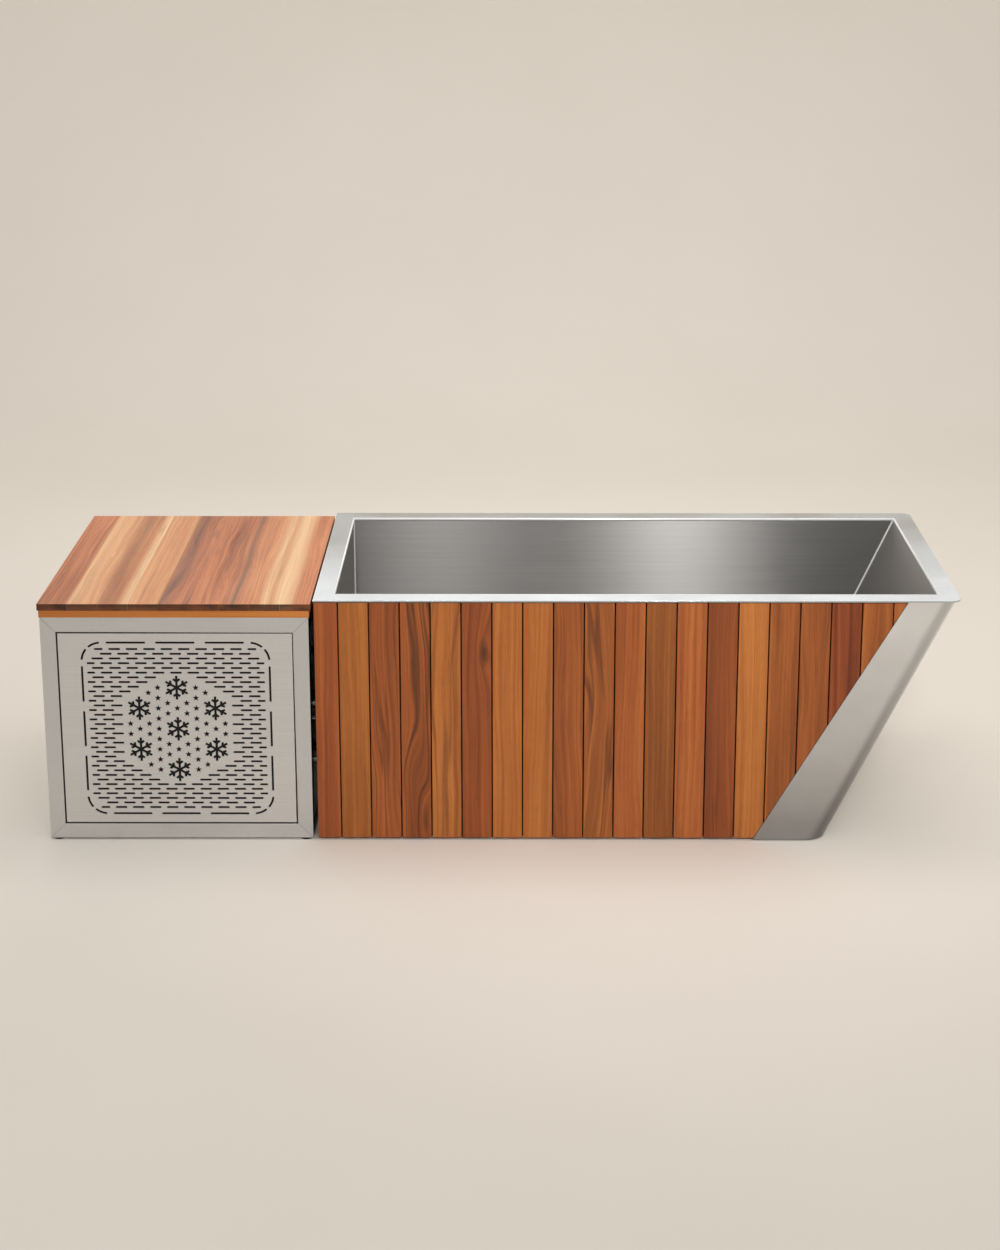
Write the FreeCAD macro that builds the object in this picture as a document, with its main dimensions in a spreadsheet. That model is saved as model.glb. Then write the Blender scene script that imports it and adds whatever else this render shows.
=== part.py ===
"""Cold plunge tub: a slatted stainless tub joined to a chiller cabinet with a wooden top.

Millimetres. +X runs from the cabinet to the sloped end of the tub, -Y is the front and +Z is up.
The origin is on the floor, in the middle of the outline. Every driving size is a cell of the sheet.
"""
import FreeCAD
import Part
import Sketcher
import math
import os
from types import SimpleNamespace

DRIVING_SIZES = (
    # Outline of the two modules
    ("lid_length", 708), ("module_gap", 7), ("tub_length", 1680), ("tub_width", 790), ("tub_height", 672),
    ("foot_height", 6), ("foot_radius", 18), ("tube_side", 40), ("tube_wall", 2), ("rest_gap", 0.4),
    # Tub rim and basin
    ("rim_width", 52), ("rim_thick", 4), ("rim_corner", 26), ("basin_corner", 12), ("basin_sheet", 2),
    ("basin_floor", 70), ("basin_slope", 0.45),
    # Slats, battens and posts along the two long sides
    ("slat_inset", 2), ("slat_thick", 18), ("slat_pitch", 80), ("slat_joint", 3.5), ("first_slat", 62),
    ("slat_shadow", 3), ("slat_floor_gap", 8), ("batten_thick", 10), ("batten_height", 40),
    ("batten_lap", 50), ("batten_drop", 35),
    ("post_width", 40), ("post_pitch", 370), ("panel_thick", 2),
    # Sloped stainless end
    ("shell_inset", 3.5), ("shell_sheet", 2), ("shell_corner", 50), ("shell_floor_gap", 3),
    ("shell_slope", 0.489), ("band_width", 134), ("band_slope", 0.581), ("end_joint", 1),
    ("base_end_gap", 60), ("floor_board_inset", 20),
    # Water fittings through the left basin wall
    ("fitting_flange", 30), ("fitting_body", 18), ("fitting_tail", 14), ("fitting_bore", 11),
    ("flange_thick", 6), ("gasket_thick", 2), ("locknut_radius", 28), ("locknut_thick", 10),
    ("thread_clearance", 0.1), ("hole_clearance", 0.5), ("tail_reach", 92),
    ("suction_back", 423), ("suction_z", 140), ("return_back", 353), ("return_drop", 40),
    ("drain_back", 53), ("drain_rise", 48),
    # Bolts that hold the modules apart
    ("bolt_radius", 4), ("bolt_clearance", 0.2), ("bolt_collar", 9), ("bolt_head", 7),
    ("bolt_head_thick", 5), ("bolt_grip", 24), ("low_bolt", 218), ("high_bolt", 376),
    # Wooden top and its hinges
    ("lid_overhang", 5), ("hinge_recess", 12), ("lid_drop", 10), ("plank_thick", 18),
    ("board_thick", 20), ("board_inset", 3), ("hinge_length", 80), ("hinge_offset", 220),
    ("knuckle_radius", 4), ("hinge_pin", 2.5), ("running_gap", 0.05), ("leaf_thick", 1.6),
    ("leaf_reach", 36), ("knuckle_end", 25), ("knuckle_gap", 0.3),
    # Perforated door
    ("door_gap", 4), ("door_recess", 1), ("door_sheet", 2), ("door_return", 18), ("pivot_inset", 12),
    ("pivot_depth", 8), ("pivot_pin", 3), ("pivot_length", 16), ("bush_radius", 5.5), ("bush_flange", 7),
    ("screen_thick", 2), ("screen_margin", 16), ("catch_width", 20), ("catch_depth", 18),
    ("catch_height", 40), ("strike_thick", 2), ("strike_width", 18),
    ("slot_length", 30.7), ("slot_width", 5.6), ("slot_pitch", 45.3), ("slot_row", 13.06),
    ("border_margin_x", 60), ("border_margin_z", 25), ("border_corner", 52), ("field_half", 163),
    ("flake_ring", 115), ("flake_size", 66), ("star_size", 18), ("flake_stroke", 6.4),
    # Cabinet sheets and screws
    ("pan_thick", 2), ("panel_inset", 6), ("screw_radius", 2), ("screw_head", 4.5),
    ("screw_head_thick", 1.5), ("screw_clearance", 0.2), ("vent_length", 90), ("vent_width", 8),
    ("vent_pitch", 24),
    # Chiller: condenser, fan, compressor and evaporator
    ("condenser_left", 32), ("condenser_length", 400), ("condenser_front", 20), ("condenser_depth", 50),
    ("condenser_height", 352), ("fin_thick", 1.5), ("end_plate", 3), ("coil_radius", 5),
    ("shroud_depth", 40), ("fan_radius", 136), ("fan_tip_gap", 8), ("fan_hub", 38), ("fan_depth", 24),
    ("fan_shaft", 4), ("blade_thick", 3), ("fan_motor_radius", 45),
    ("fan_motor_length", 60), ("arm_thick", 5), ("arm_width", 22),
    ("compressor_x", 78), ("compressor_back", 153), ("compressor_radius", 70), ("compressor_height", 212),
    ("compressor_dome", 22), ("mount_height", 10), ("mount_radius", 12),
    ("barrel_x", 253), ("barrel_back", 183), ("barrel_radius", 85), ("barrel_height", 392),
    ("barrel_wall", 5),
    ("line_radius", 5), ("line_bend", 25), ("discharge_rise", 210), ("liquid_rise", 60),
    ("suction_rise", 250), ("line_spread", 30),
    # Pump, filter and hoses
    ("pump_right", 126), ("volute_radius", 60), ("volute_length", 50), ("volute_wall", 8),
    ("neck_length", 22),
    ("impeller_gap", 4), ("impeller_disc", 4), ("impeller_shaft", 6), ("vane_thick", 3),
    ("pump_motor_radius", 50), ("pump_motor_length", 150), ("pump_foot_width", 70),
    ("filter_radius", 80), ("filter_height", 352), ("filter_wall", 6), ("filter_port_z", 72),
    ("filter_inlet_z", 252), ("cartridge_radius", 55), ("cartridge_bore", 15), ("cap_thick", 12),
    ("cap_plug", 15), ("cap_lip", 5), ("cap_bar", 16), ("hose_wall", 4), ("hose_bend", 45),
    # Drain valve and pipe
    ("valve_radius", 22), ("valve_length", 90), ("socket_depth", 15), ("stem_radius", 5),
    ("stem_depth", 10), ("handle_length", 50), ("handle_width", 14), ("handle_thick", 5),
    ("stem_height", 8), ("pipe_radius", 11.5), ("pipe_bore", 9), ("pipe_bend", 28), ("pipe_run", 28),
    ("outlet_reach", 35), ("spigot_radius", 13.3),
    # Controller and power inlet
    ("control_length", 160), ("control_depth", 70), ("control_height", 50), ("control_wall", 3),
    ("control_inset", 20), ("display_length", 66), ("display_depth", 30), ("display_thick", 2),
    ("button_radius", 7), ("button_rise", 3), ("button_flange", 9.5), ("button_flange_thick", 2),
    ("button_pitch", 24), ("moving_gap", 0.3), ("inlet_length", 48), ("inlet_height", 28),
    ("inlet_flange", 6), ("inlet_depth", 30), ("inlet_z", 430), ("inlet_x", 90), ("inlet_pin", 2),
)

doc = FreeCAD.newDocument("ColdPlungeTub")
sheet = doc.addObject("Spreadsheet::Sheet", "Sizes")
for row, (alias, number) in enumerate(DRIVING_SIZES, start=1):
    sheet.set(f"A{row}", alias)
    sheet.set(f"B{row}", str(number))
    sheet.setAlias(f"B{row}", alias)
doc.recompute()


class Size:
    """A length that knows its number and the sheet formula which gives it."""

    def __init__(self, number, formula):
        self.number = float(number)
        self.formula = formula

    def __add__(self, other):
        other = as_size(other)
        return Size(self.number + other.number, f"({self.formula} + {other.formula})")

    def __sub__(self, other):
        other = as_size(other)
        return Size(self.number - other.number, f"({self.formula} - {other.formula})")

    def __mul__(self, other):
        other = as_size(other)
        return Size(self.number * other.number, f"({self.formula} * {other.formula})")

    def __truediv__(self, other):
        other = as_size(other)
        return Size(self.number / other.number, f"({self.formula} / {other.formula})")

    def __radd__(self, other):
        return as_size(other) + self

    def __rsub__(self, other):
        return as_size(other) - self

    def __rmul__(self, other):
        return as_size(other) * self

    def __neg__(self):
        return Size(-self.number, f"(0 - {self.formula})")

    def __float__(self):
        return self.number


def as_size(value):
    return value if isinstance(value, Size) else Size(value, repr(value))


mm = SimpleNamespace(**{alias: Size(sheet.get(alias), f"Sizes.{alias}") for alias, _ in DRIVING_SIZES})
sub_parts = []
AXES = "XYZ"
TURN_TO = {
    "X": FreeCAD.Rotation(FreeCAD.Vector(0, 1, 0), 90),
    "Y": FreeCAD.Rotation(FreeCAD.Vector(1, 0, 0), -90),
    "Z": FreeCAD.Rotation(),
}


def bind(item, formulas):
    for prop, size in formulas.items():
        item.setExpression(prop, as_size(size).formula)


def put(item, x, y, z):
    bind(item, {"Placement.Base.x": x, "Placement.Base.y": y, "Placement.Base.z": z})


def box(name, x, y, z):
    """A block between two values on each axis."""
    item = doc.addObject("Part::Box", name)
    bind(item, {"Length": x[1] - x[0], "Width": y[1] - y[0], "Height": z[1] - z[0]})
    put(item, x[0], y[0], z[0])
    return item


def rod(name, axis, span, radius, across):
    """A round bar along one axis; across holds its two other coordinates in X, Y, Z order."""
    item = doc.addObject("Part::Cylinder", name)
    bind(item, {"Radius": radius, "Height": span[1] - span[0]})
    where = list(across)
    where.insert(AXES.index(axis), span[0])
    item.Placement.Rotation = TURN_TO[axis]
    put(item, *where)
    return item


def group(name, items):
    item = doc.addObject("Part::Compound", name)
    item.Links = items
    return item


def fuse(name, items):
    item = doc.addObject("Part::MultiFuse", name)
    item.Shapes = items
    item.Refine = True
    return item


def cut(name, base, tools):
    item = doc.addObject("Part::Cut", name)
    item.Base = base
    item.Tool = tools[0] if len(tools) == 1 else fuse(name + "_cutters", tools)
    return item


def ring(name, axis, span, outer, inner, across):
    bore = rod(name + "_bore", axis, span, inner, across)
    return cut(name, rod(name + "_outer", axis, span, outer, across), [bore])


def square_tube(name, axis, x, y, z):
    """A square tube between two values on each axis, open at both ends."""
    sides = [x, y, z]
    bore = [(low + mm.tube_wall, high - mm.tube_wall) for low, high in sides]
    bore[AXES.index(axis)] = sides[AXES.index(axis)]
    return cut(name, box(name + "_outer", *sides), [box(name + "_bore", *bore)])


def keep(item):
    """Hand the item in as a sub-part under its label."""
    sub_parts.append(item)
    return item


def feature(name, shape):
    item = doc.addObject("Part::Feature", name)
    item.Shape = shape
    item.Placement = FreeCAD.Placement()
    return item


def plane_of(body, role):
    return next(plane for plane in body.Origin.OriginFeatures if plane.Role == role)


def polygon_sketch(body, name, role, points):
    """A closed outline on an origin plane, with each corner tied to the sheet."""
    sketch = body.newObject("Sketcher::SketchObject", name)
    sketch.AttachmentSupport = [(plane_of(body, role), "")]
    sketch.MapMode = "FlatFace"
    corners = [FreeCAD.Vector(float(u), float(v), 0) for u, v in points]
    for index, corner in enumerate(corners):
        sketch.addGeometry(Part.LineSegment(corner, corners[(index + 1) % len(corners)]), False)
    for index, (u, v) in enumerate(points):
        follower = (index + 1) % len(points)
        sketch.addConstraint(Sketcher.Constraint("Coincident", index, 2, follower, 1))
        for kind, size in (("DistanceX", u), ("DistanceY", v)):
            constraint = sketch.addConstraint(Sketcher.Constraint(kind, -1, 1, index, 1, float(size)))
            sketch.setExpression(f"Constraints[{constraint}]", as_size(size).formula)
    return sketch


def padded_body(name, points, width):
    """A body padded evenly to both sides of the XZ plane."""
    body = doc.addObject("PartDesign::Body", name)
    pad = body.newObject("PartDesign::Pad", name + "_pad")
    pad.Profile = polygon_sketch(body, name + "_outline", "XZ_Plane", points)
    pad.SideType = "Symmetric"
    bind(pad, {"Length": width})
    doc.recompute()
    return body, pad


def revolved_body(name, points, x, y):
    """A body turned about an upright axis, from corners given as radius and height."""
    body = doc.addObject("PartDesign::Body", name)
    turned = body.newObject("PartDesign::Revolution", name + "_turned")
    turned.Profile = polygon_sketch(body, name + "_outline", "XZ_Plane", points)
    axis = next(line for line in body.Origin.OriginFeatures if line.Role == "Z_Axis")
    turned.ReferenceAxis = (axis, [""])
    turned.Angle = 360
    put(body, x, y, 0)
    return body


def edges_where(shape, test):
    return [f"Edge{i}" for i, edge in enumerate(shape.Edges, start=1) if test(edge)]


def faces_where(shape, test):
    return [f"Face{i}" for i, face in enumerate(shape.Faces, start=1) if test(face)]


def is_straight(edge):
    return isinstance(edge.Curve, Part.Line)


def vertical_edges(item, low_x):
    """Numbers of the upright straight edges that lie to the right of low_x."""
    numbers = []
    for number, edge in enumerate(item.Shape.Edges, start=1):
        limits = edge.BoundBox
        if is_straight(edge) and limits.XLength + limits.YLength < 1e-6 and limits.XMin > low_x:
            numbers.append(number)
    return numbers


def rounded(name, item, numbers, radius):
    """Round the edges with these numbers."""
    fillet = doc.addObject("Part::Fillet", name)
    fillet.Base = item
    fillet.Edges = [(number, float(radius), float(radius)) for number in numbers]
    return fillet


def bent_path(points, bend):
    """A wire of straight runs and tangent arcs through the points."""
    corners = [FreeCAD.Vector(*[float(value) for value in point]) for point in points]
    edges = []
    start = corners[0]
    for before, corner, after in zip(corners, corners[1:], corners[2:]):
        into = (corner - before).normalize()
        out = (after - corner).normalize()
        turn = into.getAngle(out)
        setback = float(bend) * math.tan(turn / 2)
        arc_start = corner - into * setback
        arc_end = corner + out * setback
        inward = (out - into).normalize()
        middle = corner + inward * (float(bend) / math.cos(turn / 2) - float(bend))
        edges.append(Part.LineSegment(start, arc_start).toShape())
        edges.append(Part.Arc(arc_start, middle, arc_end).toShape())
        start = arc_end
    edges.append(Part.LineSegment(start, corners[-1]).toShape())
    return Part.Wire(edges)


def bent_tube(points, bend, outer, inner=None):
    """A round tube, or a solid bar without inner, swept along a bent path."""
    path = bent_path(points, bend)
    start = path.Vertexes[0].Point
    direction = (path.Vertexes[1].Point - start).normalize()

    def swept(radius):
        section = Part.Wire(Part.makeCircle(float(radius), start, direction))
        return path.makePipeShell([section], True, False)

    return swept(outer) if inner is None else swept(outer).cut(swept(inner))


# Outline lines that the pieces share
half_length = (mm.lid_length + mm.module_gap + mm.tub_length) / 2
half_width = mm.tub_width / 2
rim_left = mm.lid_length + mm.module_gap - half_length
rim_right = half_length
rim_under = mm.tub_height - mm.rim_thick
base_top = mm.foot_height + mm.tube_side
slat_face = half_width - mm.slat_inset
slat_back = slat_face - mm.slat_thick
batten_back = slat_back - mm.batten_thick
basin_half = half_width - mm.rim_width
basin_outer = basin_half + mm.basin_sheet
basin_left = rim_left + mm.rim_width
basin_right_top = rim_right - mm.rim_width
wall_left = basin_left - mm.basin_sheet
panel_left = rim_left + mm.slat_inset
panel_right = panel_left + mm.panel_thick
inner_back = half_width - mm.hinge_recess - mm.tube_side
inner_low = mm.foot_height + mm.tube_side
pan_top = inner_low + mm.pan_thick


def shell_x(z):
    """The outer face of the sloped end at a height."""
    return rim_right - mm.shell_inset - mm.shell_slope * (rim_under - z)


def band_x(z):
    """The edge where the slats meet the stainless band at a height."""
    return rim_right - mm.shell_inset - mm.band_width - mm.band_slope * (rim_under - z)


def basin_x(z):
    """The inner face of the sloped basin end at a height."""
    return basin_right_top - mm.basin_slope * (mm.tub_height - z)


def both_sides(make):
    """Make a piece at the front and at the back: make takes a side of -1 or 1."""
    return [piece for side in (-1, 1) for piece in make(side)]


def side_span(side, inner, outer):
    """The Y span of a layer of the long wall, on the front or the back."""
    return (inner, outer) if side > 0 else (-outer, -inner)


# Tub basin: a sheet folded into a trough, with an upright and a sloped end sheet welded to it
suction_y = inner_back - mm.suction_back
return_y = inner_back - mm.return_back
return_z = pan_top + mm.barrel_height - mm.return_drop
fittings = {
    "suction": (suction_y, mm.suction_z),
    "return": (return_y, return_z),
    "drain": (inner_back - mm.drain_back, mm.basin_floor + mm.drain_rise),
}


def trough_space(name, sheet_out, corner):
    """The space between the basin's ends, grown by sheet_out on floor and long walls, with rounded folds."""
    floor = mm.basin_floor - sheet_out
    points = [
        (basin_left, floor), (basin_x(floor), floor),
        (basin_x(rim_under), rim_under), (basin_left, rim_under),
    ]
    body, pad = padded_body(name, points, (basin_half + sheet_out) * 2)

    def is_fold(edge):
        limits = edge.BoundBox
        return limits.ZMax < float(floor) + 1 and limits.YLength < 1e-6

    fillet = body.newObject("PartDesign::Fillet", name + "_folds")
    fillet.Base = (pad, edges_where(pad.Shape, is_fold))
    bind(fillet, {"Radius": corner})
    return body


trough = cut("trough", trough_space("trough_outside", mm.basin_sheet, mm.basin_corner + mm.basin_sheet),
             [trough_space("trough_inside", as_size(0), mm.basin_corner)])
end_low = mm.basin_floor - mm.basin_sheet
port_hole = mm.fitting_body + mm.hole_clearance
upright_x = (wall_left, basin_left)
upright_end = cut("upright_end", box("upright_end_sheet", upright_x, (-basin_outer, basin_outer),
                                     (end_low, rim_under)),
                  [rod(f"{port}_port", "X", upright_x, port_hole, where) for port, where in fittings.items()])
sloped_end, _ = padded_body("sloped_end", [
    (basin_x(end_low), end_low), (basin_x(end_low) + mm.basin_sheet, end_low),
    (basin_x(rim_under) + mm.basin_sheet, rim_under), (basin_x(rim_under), rim_under),
], basin_outer * 2)
keep(group("tub_basin", [trough, upright_end, sloped_end]))

# Tub rim: a flat plate round the opening, rounded at its two right corners
rim_plate = cut("rim_plate", box("rim_outer", (rim_left, rim_right), (-half_width, half_width),
                                 (rim_under, mm.tub_height)),
                [box("rim_opening", (basin_left, basin_right_top), (-basin_half, basin_half),
                     (rim_under, mm.tub_height))])
doc.recompute()
keep(rounded("tub_rim", rim_plate, vertical_edges(rim_plate, float(basin_right_top) + 1), mm.rim_corner))

# Sloped end: one sheet wrapped round the end, with a flange under the rim on each side
shell_low = mm.shell_floor_gap
shell_points = [
    (band_x(shell_low), shell_low), (shell_x(shell_low), shell_low),
    (shell_x(rim_under), rim_under), (band_x(rim_under), rim_under),
]
shell_body, shell_pad = padded_body("end_shell", shell_points, slat_face * 2)


def joins_end_face(edge):
    """True on the two slanted edges where the end meets the long sides."""
    limits = edge.BoundBox
    return limits.YLength < 1e-6 and limits.ZLength > 1 and limits.XMax > float(shell_x(rim_under)) - 1


shell_fillet = shell_body.newObject("PartDesign::Fillet", "shell_corners")
shell_fillet.Base = (shell_pad, edges_where(shell_pad.Shape, joins_end_face))
bind(shell_fillet, {"Radius": mm.shell_corner})
doc.recompute()


def is_open_side(face):
    """True on the top, the bottom and the slanted inner side of the wrap."""
    normal = face.normalAt(0, 0) if isinstance(face.Surface, Part.Plane) else FreeCAD.Vector(0, 1, 0)
    return abs(normal.z) > 0.9 or normal.x < -0.5


shell_walls = shell_body.newObject("PartDesign::Thickness", "shell_walls")
shell_walls.Base = (shell_fillet, faces_where(shell_fillet.Shape, is_open_side))
shell_walls.Reversed = True
bind(shell_walls, {"Value": mm.shell_sheet})
keep(shell_body)

# Base frame: square tubes in a ring with cross bars, on rubber pads
base_left = panel_right
base_right = shell_x(mm.foot_height) - mm.base_end_gap
rail_inner = slat_back - mm.tube_side
base_z = (mm.foot_height, base_top)
base_tubes = both_sides(lambda side: [
    square_tube("long_rail", "X", (base_left, base_right), side_span(side, rail_inner, slat_back), base_z)])
CROSS_BARS = 4
cross_step = (base_right - base_left - mm.tube_side) / (CROSS_BARS - 1)
for index in range(CROSS_BARS):
    bar_left = base_left + cross_step * index
    base_tubes.append(square_tube("cross_bar", "Y", (bar_left, bar_left + mm.tube_side),
                                  (-rail_inner, rail_inner), base_z))
keep(group("base_frame", base_tubes))

foot_y = slat_back - mm.tube_side / 2
foot_places = [(base_left + mm.tube_side / 2 + cross_step * index, foot_y * side)
               for index in range(CROSS_BARS) for side in (-1, 1)]
keep(group("tub_feet", [rod("tub_foot", "Z", (as_size(0), mm.foot_height), mm.foot_radius, place)
                        for place in foot_places]))

# Floor board that carries the basin on the base frame
floor_right = basin_x(mm.basin_floor) - mm.floor_board_inset
keep(box("floor_insulation", (basin_left, floor_right),
         (mm.floor_board_inset - basin_half, basin_half - mm.floor_board_inset),
         (base_top, mm.basin_floor - mm.basin_sheet)))

# Posts between base frame and rim, with holes for the joining bolts in the two left ones
upright_inside = half_width - mm.lid_overhang - mm.tube_side + mm.tube_wall
bolt_y = upright_inside + mm.bolt_head + mm.hole_clearance
bolt_heights = (mm.low_bolt, mm.high_bolt)
bolt_places = [(bolt_y * side, height) for side in (-1, 1) for height in bolt_heights]
cabinet_right = mm.lid_length - half_length - mm.lid_overhang
bolt_start = cabinet_right - mm.tube_wall - mm.bolt_head_thick
bolt_end = panel_right + mm.bolt_grip
bolt_hole = mm.bolt_radius + mm.bolt_clearance


def bolt_cutters():
    return [rod("bolt_hole", "X", (bolt_start, bolt_end), bolt_hole, place) for place in bolt_places]


POSTS = 4
post_spans = [(base_left + mm.post_pitch * index, base_left + mm.post_pitch * index + mm.post_width)
              for index in range(POSTS)]
posts = both_sides(lambda side: [
    box("post", span, side_span(side, basin_outer, batten_back), (base_top, rim_under))
    for span in post_spans])
keep(cut("wall_posts", group("post_row", posts), bolt_cutters()))

# Insulation boards between the posts
boards = both_sides(lambda side: [
    box("board", (left[1], right[0]), side_span(side, basin_outer, batten_back), (base_top, rim_under))
    for left, right in zip(post_spans, post_spans[1:])])
keep(group("wall_insulation", boards))

# Level battens that the slats are screwed to
slat_top = rim_under - mm.slat_shadow
low_batten = base_top + mm.batten_height
high_batten = slat_top - mm.batten_drop
battens = both_sides(lambda side: [
    box("batten", (base_left, band_x(top) + mm.batten_lap), side_span(side, batten_back, slat_back),
        (top - mm.batten_height, top))
    for top in (low_batten, (low_batten + high_batten) / 2, high_batten)])
keep(group("slat_battens", battens))

# Slats: upright boards with open joints, cut on the slant where the stainless band starts
slat_left = panel_left
slat_count = math.ceil(float((band_x(slat_top) - slat_left - mm.first_slat) / mm.slat_pitch)) + 1


def slat_span(index):
    right = slat_left + mm.first_slat + mm.slat_pitch * index
    if index == 0:
        return slat_left, right - mm.slat_joint / 2
    return right - mm.slat_pitch + mm.slat_joint / 2, right - mm.slat_joint / 2


for side, name in ((-1, "front_slats"), (1, "back_slats")):
    row = group(name + "_row", [
        box("slat", slat_span(index), side_span(side, slat_back, slat_face), (mm.slat_floor_gap, slat_top))
        for index in range(slat_count)])
    low, high = side_span(-side, slat_back, slat_face)
    slant = doc.addObject("Part::Wedge", name + "_slant")
    bind(slant, {
        "Xmin": band_x(mm.slat_floor_gap) - mm.end_joint, "Xmax": rim_right,
        "X2min": band_x(slat_top) - mm.end_joint, "X2max": rim_right,
        "Ymin": mm.slat_floor_gap, "Ymax": slat_top,
        "Zmin": low, "Zmax": high, "Z2min": low, "Z2max": high,
    })
    slant.Placement.Rotation = FreeCAD.Rotation(FreeCAD.Vector(1, 0, 0), 90)
    keep(cut(name, row, [slant]))

# Black panel on the tub's left end, open for the water fittings and the bolts
panel_cutters = [
    rod("fitting_hole", "X", (panel_left, panel_right), mm.fitting_body + mm.hole_clearance, where)
    for where in fittings.values()]
keep(cut("left_end_panel", box("end_panel_sheet", (panel_left, panel_right), (-slat_back, slat_back),
                               (mm.slat_floor_gap, slat_top)), panel_cutters + bolt_cutters()))

# Joining bolts: each has its head in the cabinet upright and a spacer collar between the modules
bolts = []
for y, z in bolt_places:
    shank = rod("bolt_shank", "X", (bolt_start, bolt_end), mm.bolt_radius, (y, z))
    head = rod("bolt_head", "X", (bolt_start, bolt_start + mm.bolt_head_thick), mm.bolt_head, (y, z))
    collar = rod("bolt_collar", "X", (cabinet_right, panel_left), mm.bolt_collar, (y, z))
    bolts.append(fuse("bolt", [shank, head, collar]))
keep(group("joining_bolts", bolts))

# Water fittings: flange and gasket inside the basin, locknut outside it and a hose tail to the left
tail_end = panel_left - mm.tail_reach
flange_start = basin_left + mm.gasket_thick
tail_start = panel_left


def fitting(name, where):
    outer = fuse(name + "_outer", [
        rod(name + "_flange", "X", (flange_start, flange_start + mm.flange_thick), mm.fitting_flange, where),
        rod(name + "_body", "X", (tail_start, flange_start), mm.fitting_body, where),
        rod(name + "_tail", "X", (tail_end, tail_start), mm.fitting_tail, where),
    ])
    bore = rod(name + "_bore", "X", (tail_end, flange_start + mm.flange_thick), mm.fitting_bore, where)
    return cut(name, outer, [bore])


keep(group("water_fittings", [fitting(f"{port}_fitting", where) for port, where in fittings.items()]))
thread_hole = mm.fitting_body + mm.thread_clearance
keep(group("bulkhead_gaskets", [
    ring("gasket", "X", (basin_left, flange_start), mm.fitting_flange, thread_hole, where)
    for where in fittings.values()]))
keep(group("bulkhead_locknuts", [
    ring("locknut", "X", (wall_left - mm.locknut_thick, wall_left), mm.locknut_radius, thread_hole, where)
    for where in fittings.values()]))

# Cabinet outline, under the lid's overhang
cabinet_left = mm.lid_overhang - half_length
cabinet_front = mm.lid_overhang - half_width
cabinet_back = half_width - mm.hinge_recess
lid_top = mm.tub_height - mm.lid_drop
plank_bottom = lid_top - mm.plank_thick
board_bottom = plank_bottom - mm.board_thick
cabinet_top = board_bottom - mm.rest_gap
cabinet_low = mm.foot_height
inner_left = cabinet_left + mm.tube_side
inner_right = cabinet_right - mm.tube_side
inner_front = cabinet_front + mm.tube_side
inner_top = cabinet_top - mm.tube_side

# Turns that lay a mitred bar, drawn along X with its long edge outward, on each side of a frame
FRAME_TURNS = {
    "low": FreeCAD.Rotation(FreeCAD.Vector(1, 0, 0), 90),
    "high": FreeCAD.Rotation(FreeCAD.Vector(1, 0, 0), -90),
    "left": FreeCAD.Rotation(FreeCAD.Vector(1, 1, 1), -120),
    "right": FreeCAD.Rotation(FreeCAD.Vector(-1, 1, -1), -120),
}


def mitred_wedge(name, length, inset, turn, where):
    """A bar with 45 degree ends, shrunk by inset on its four long faces."""
    wedge = doc.addObject("Part::Wedge", name)
    near = inset
    far = mm.tube_side - inset
    bind(wedge, {
        "Xmin": near, "Xmax": length - near, "X2min": far, "X2max": length - far,
        "Ymin": near, "Ymax": far, "Zmin": near, "Zmax": far, "Z2min": near, "Z2max": far,
    })
    wedge.Placement.Rotation = turn
    put(wedge, *where)
    return wedge


def mitred_bar(name, length, turn, where):
    """A hollow square bar with mitred ends, open at the mitres."""
    core = mitred_wedge(name + "_core", length, mm.tube_wall, turn, where)
    return cut(name, mitred_wedge(name + "_skin", length, as_size(0), turn, where), [core])


def mitred_frame(name, front):
    """Four mitred bars welded into an upright frame whose front face is at the given Y."""
    width = cabinet_right - cabinet_left
    height = cabinet_top - cabinet_low
    back = front + mm.tube_side
    return [
        mitred_bar(name + "_low", width, FRAME_TURNS["low"], (cabinet_left, back, cabinet_low)),
        mitred_bar(name + "_high", width, FRAME_TURNS["high"], (cabinet_left, front, cabinet_top)),
        mitred_bar(name + "_left", height, FRAME_TURNS["left"], (cabinet_left, front, cabinet_low)),
        mitred_bar(name + "_right", height, FRAME_TURNS["right"], (cabinet_right, back, cabinet_low)),
    ]


# Screws of the two cabinet sheets, in rows along the uprights
left_sheet_z = (cabinet_low + mm.panel_inset, cabinet_top - mm.panel_inset)
back_sheet_z = (pan_top + mm.rest_gap, inner_top - mm.rest_gap)
SCREW_ROWS = 3


def rows_between(span, margin):
    step = (span[1] - span[0] - margin * 2) / (SCREW_ROWS - 1)
    return [span[0] + margin + step * row for row in range(SCREW_ROWS)]


left_screw_places = [(y, z) for y in (cabinet_front + mm.tube_side / 2, cabinet_back - mm.tube_side / 2)
                     for z in rows_between(left_sheet_z, mm.tube_side)]
back_screw_places = [(x, z) for x in (cabinet_left + mm.tube_side / 2, cabinet_right - mm.tube_side / 2)
                     for z in rows_between(back_sheet_z, mm.tube_side)]
left_sheet_x = (cabinet_left - mm.panel_thick, cabinet_left)
back_sheet_y = (inner_back - mm.panel_thick, inner_back)
screw_hole = mm.screw_radius + mm.screw_clearance
left_screw_x = (left_sheet_x[0], cabinet_left + mm.tube_wall)
back_screw_y = (back_sheet_y[0], inner_back + mm.tube_wall)


def left_screw_holes():
    return [rod("left_hole", "X", left_screw_x, screw_hole, place) for place in left_screw_places]


def back_screw_holes():
    return [rod("back_hole", "Y", back_screw_y, screw_hole, place) for place in back_screw_places]


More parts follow.
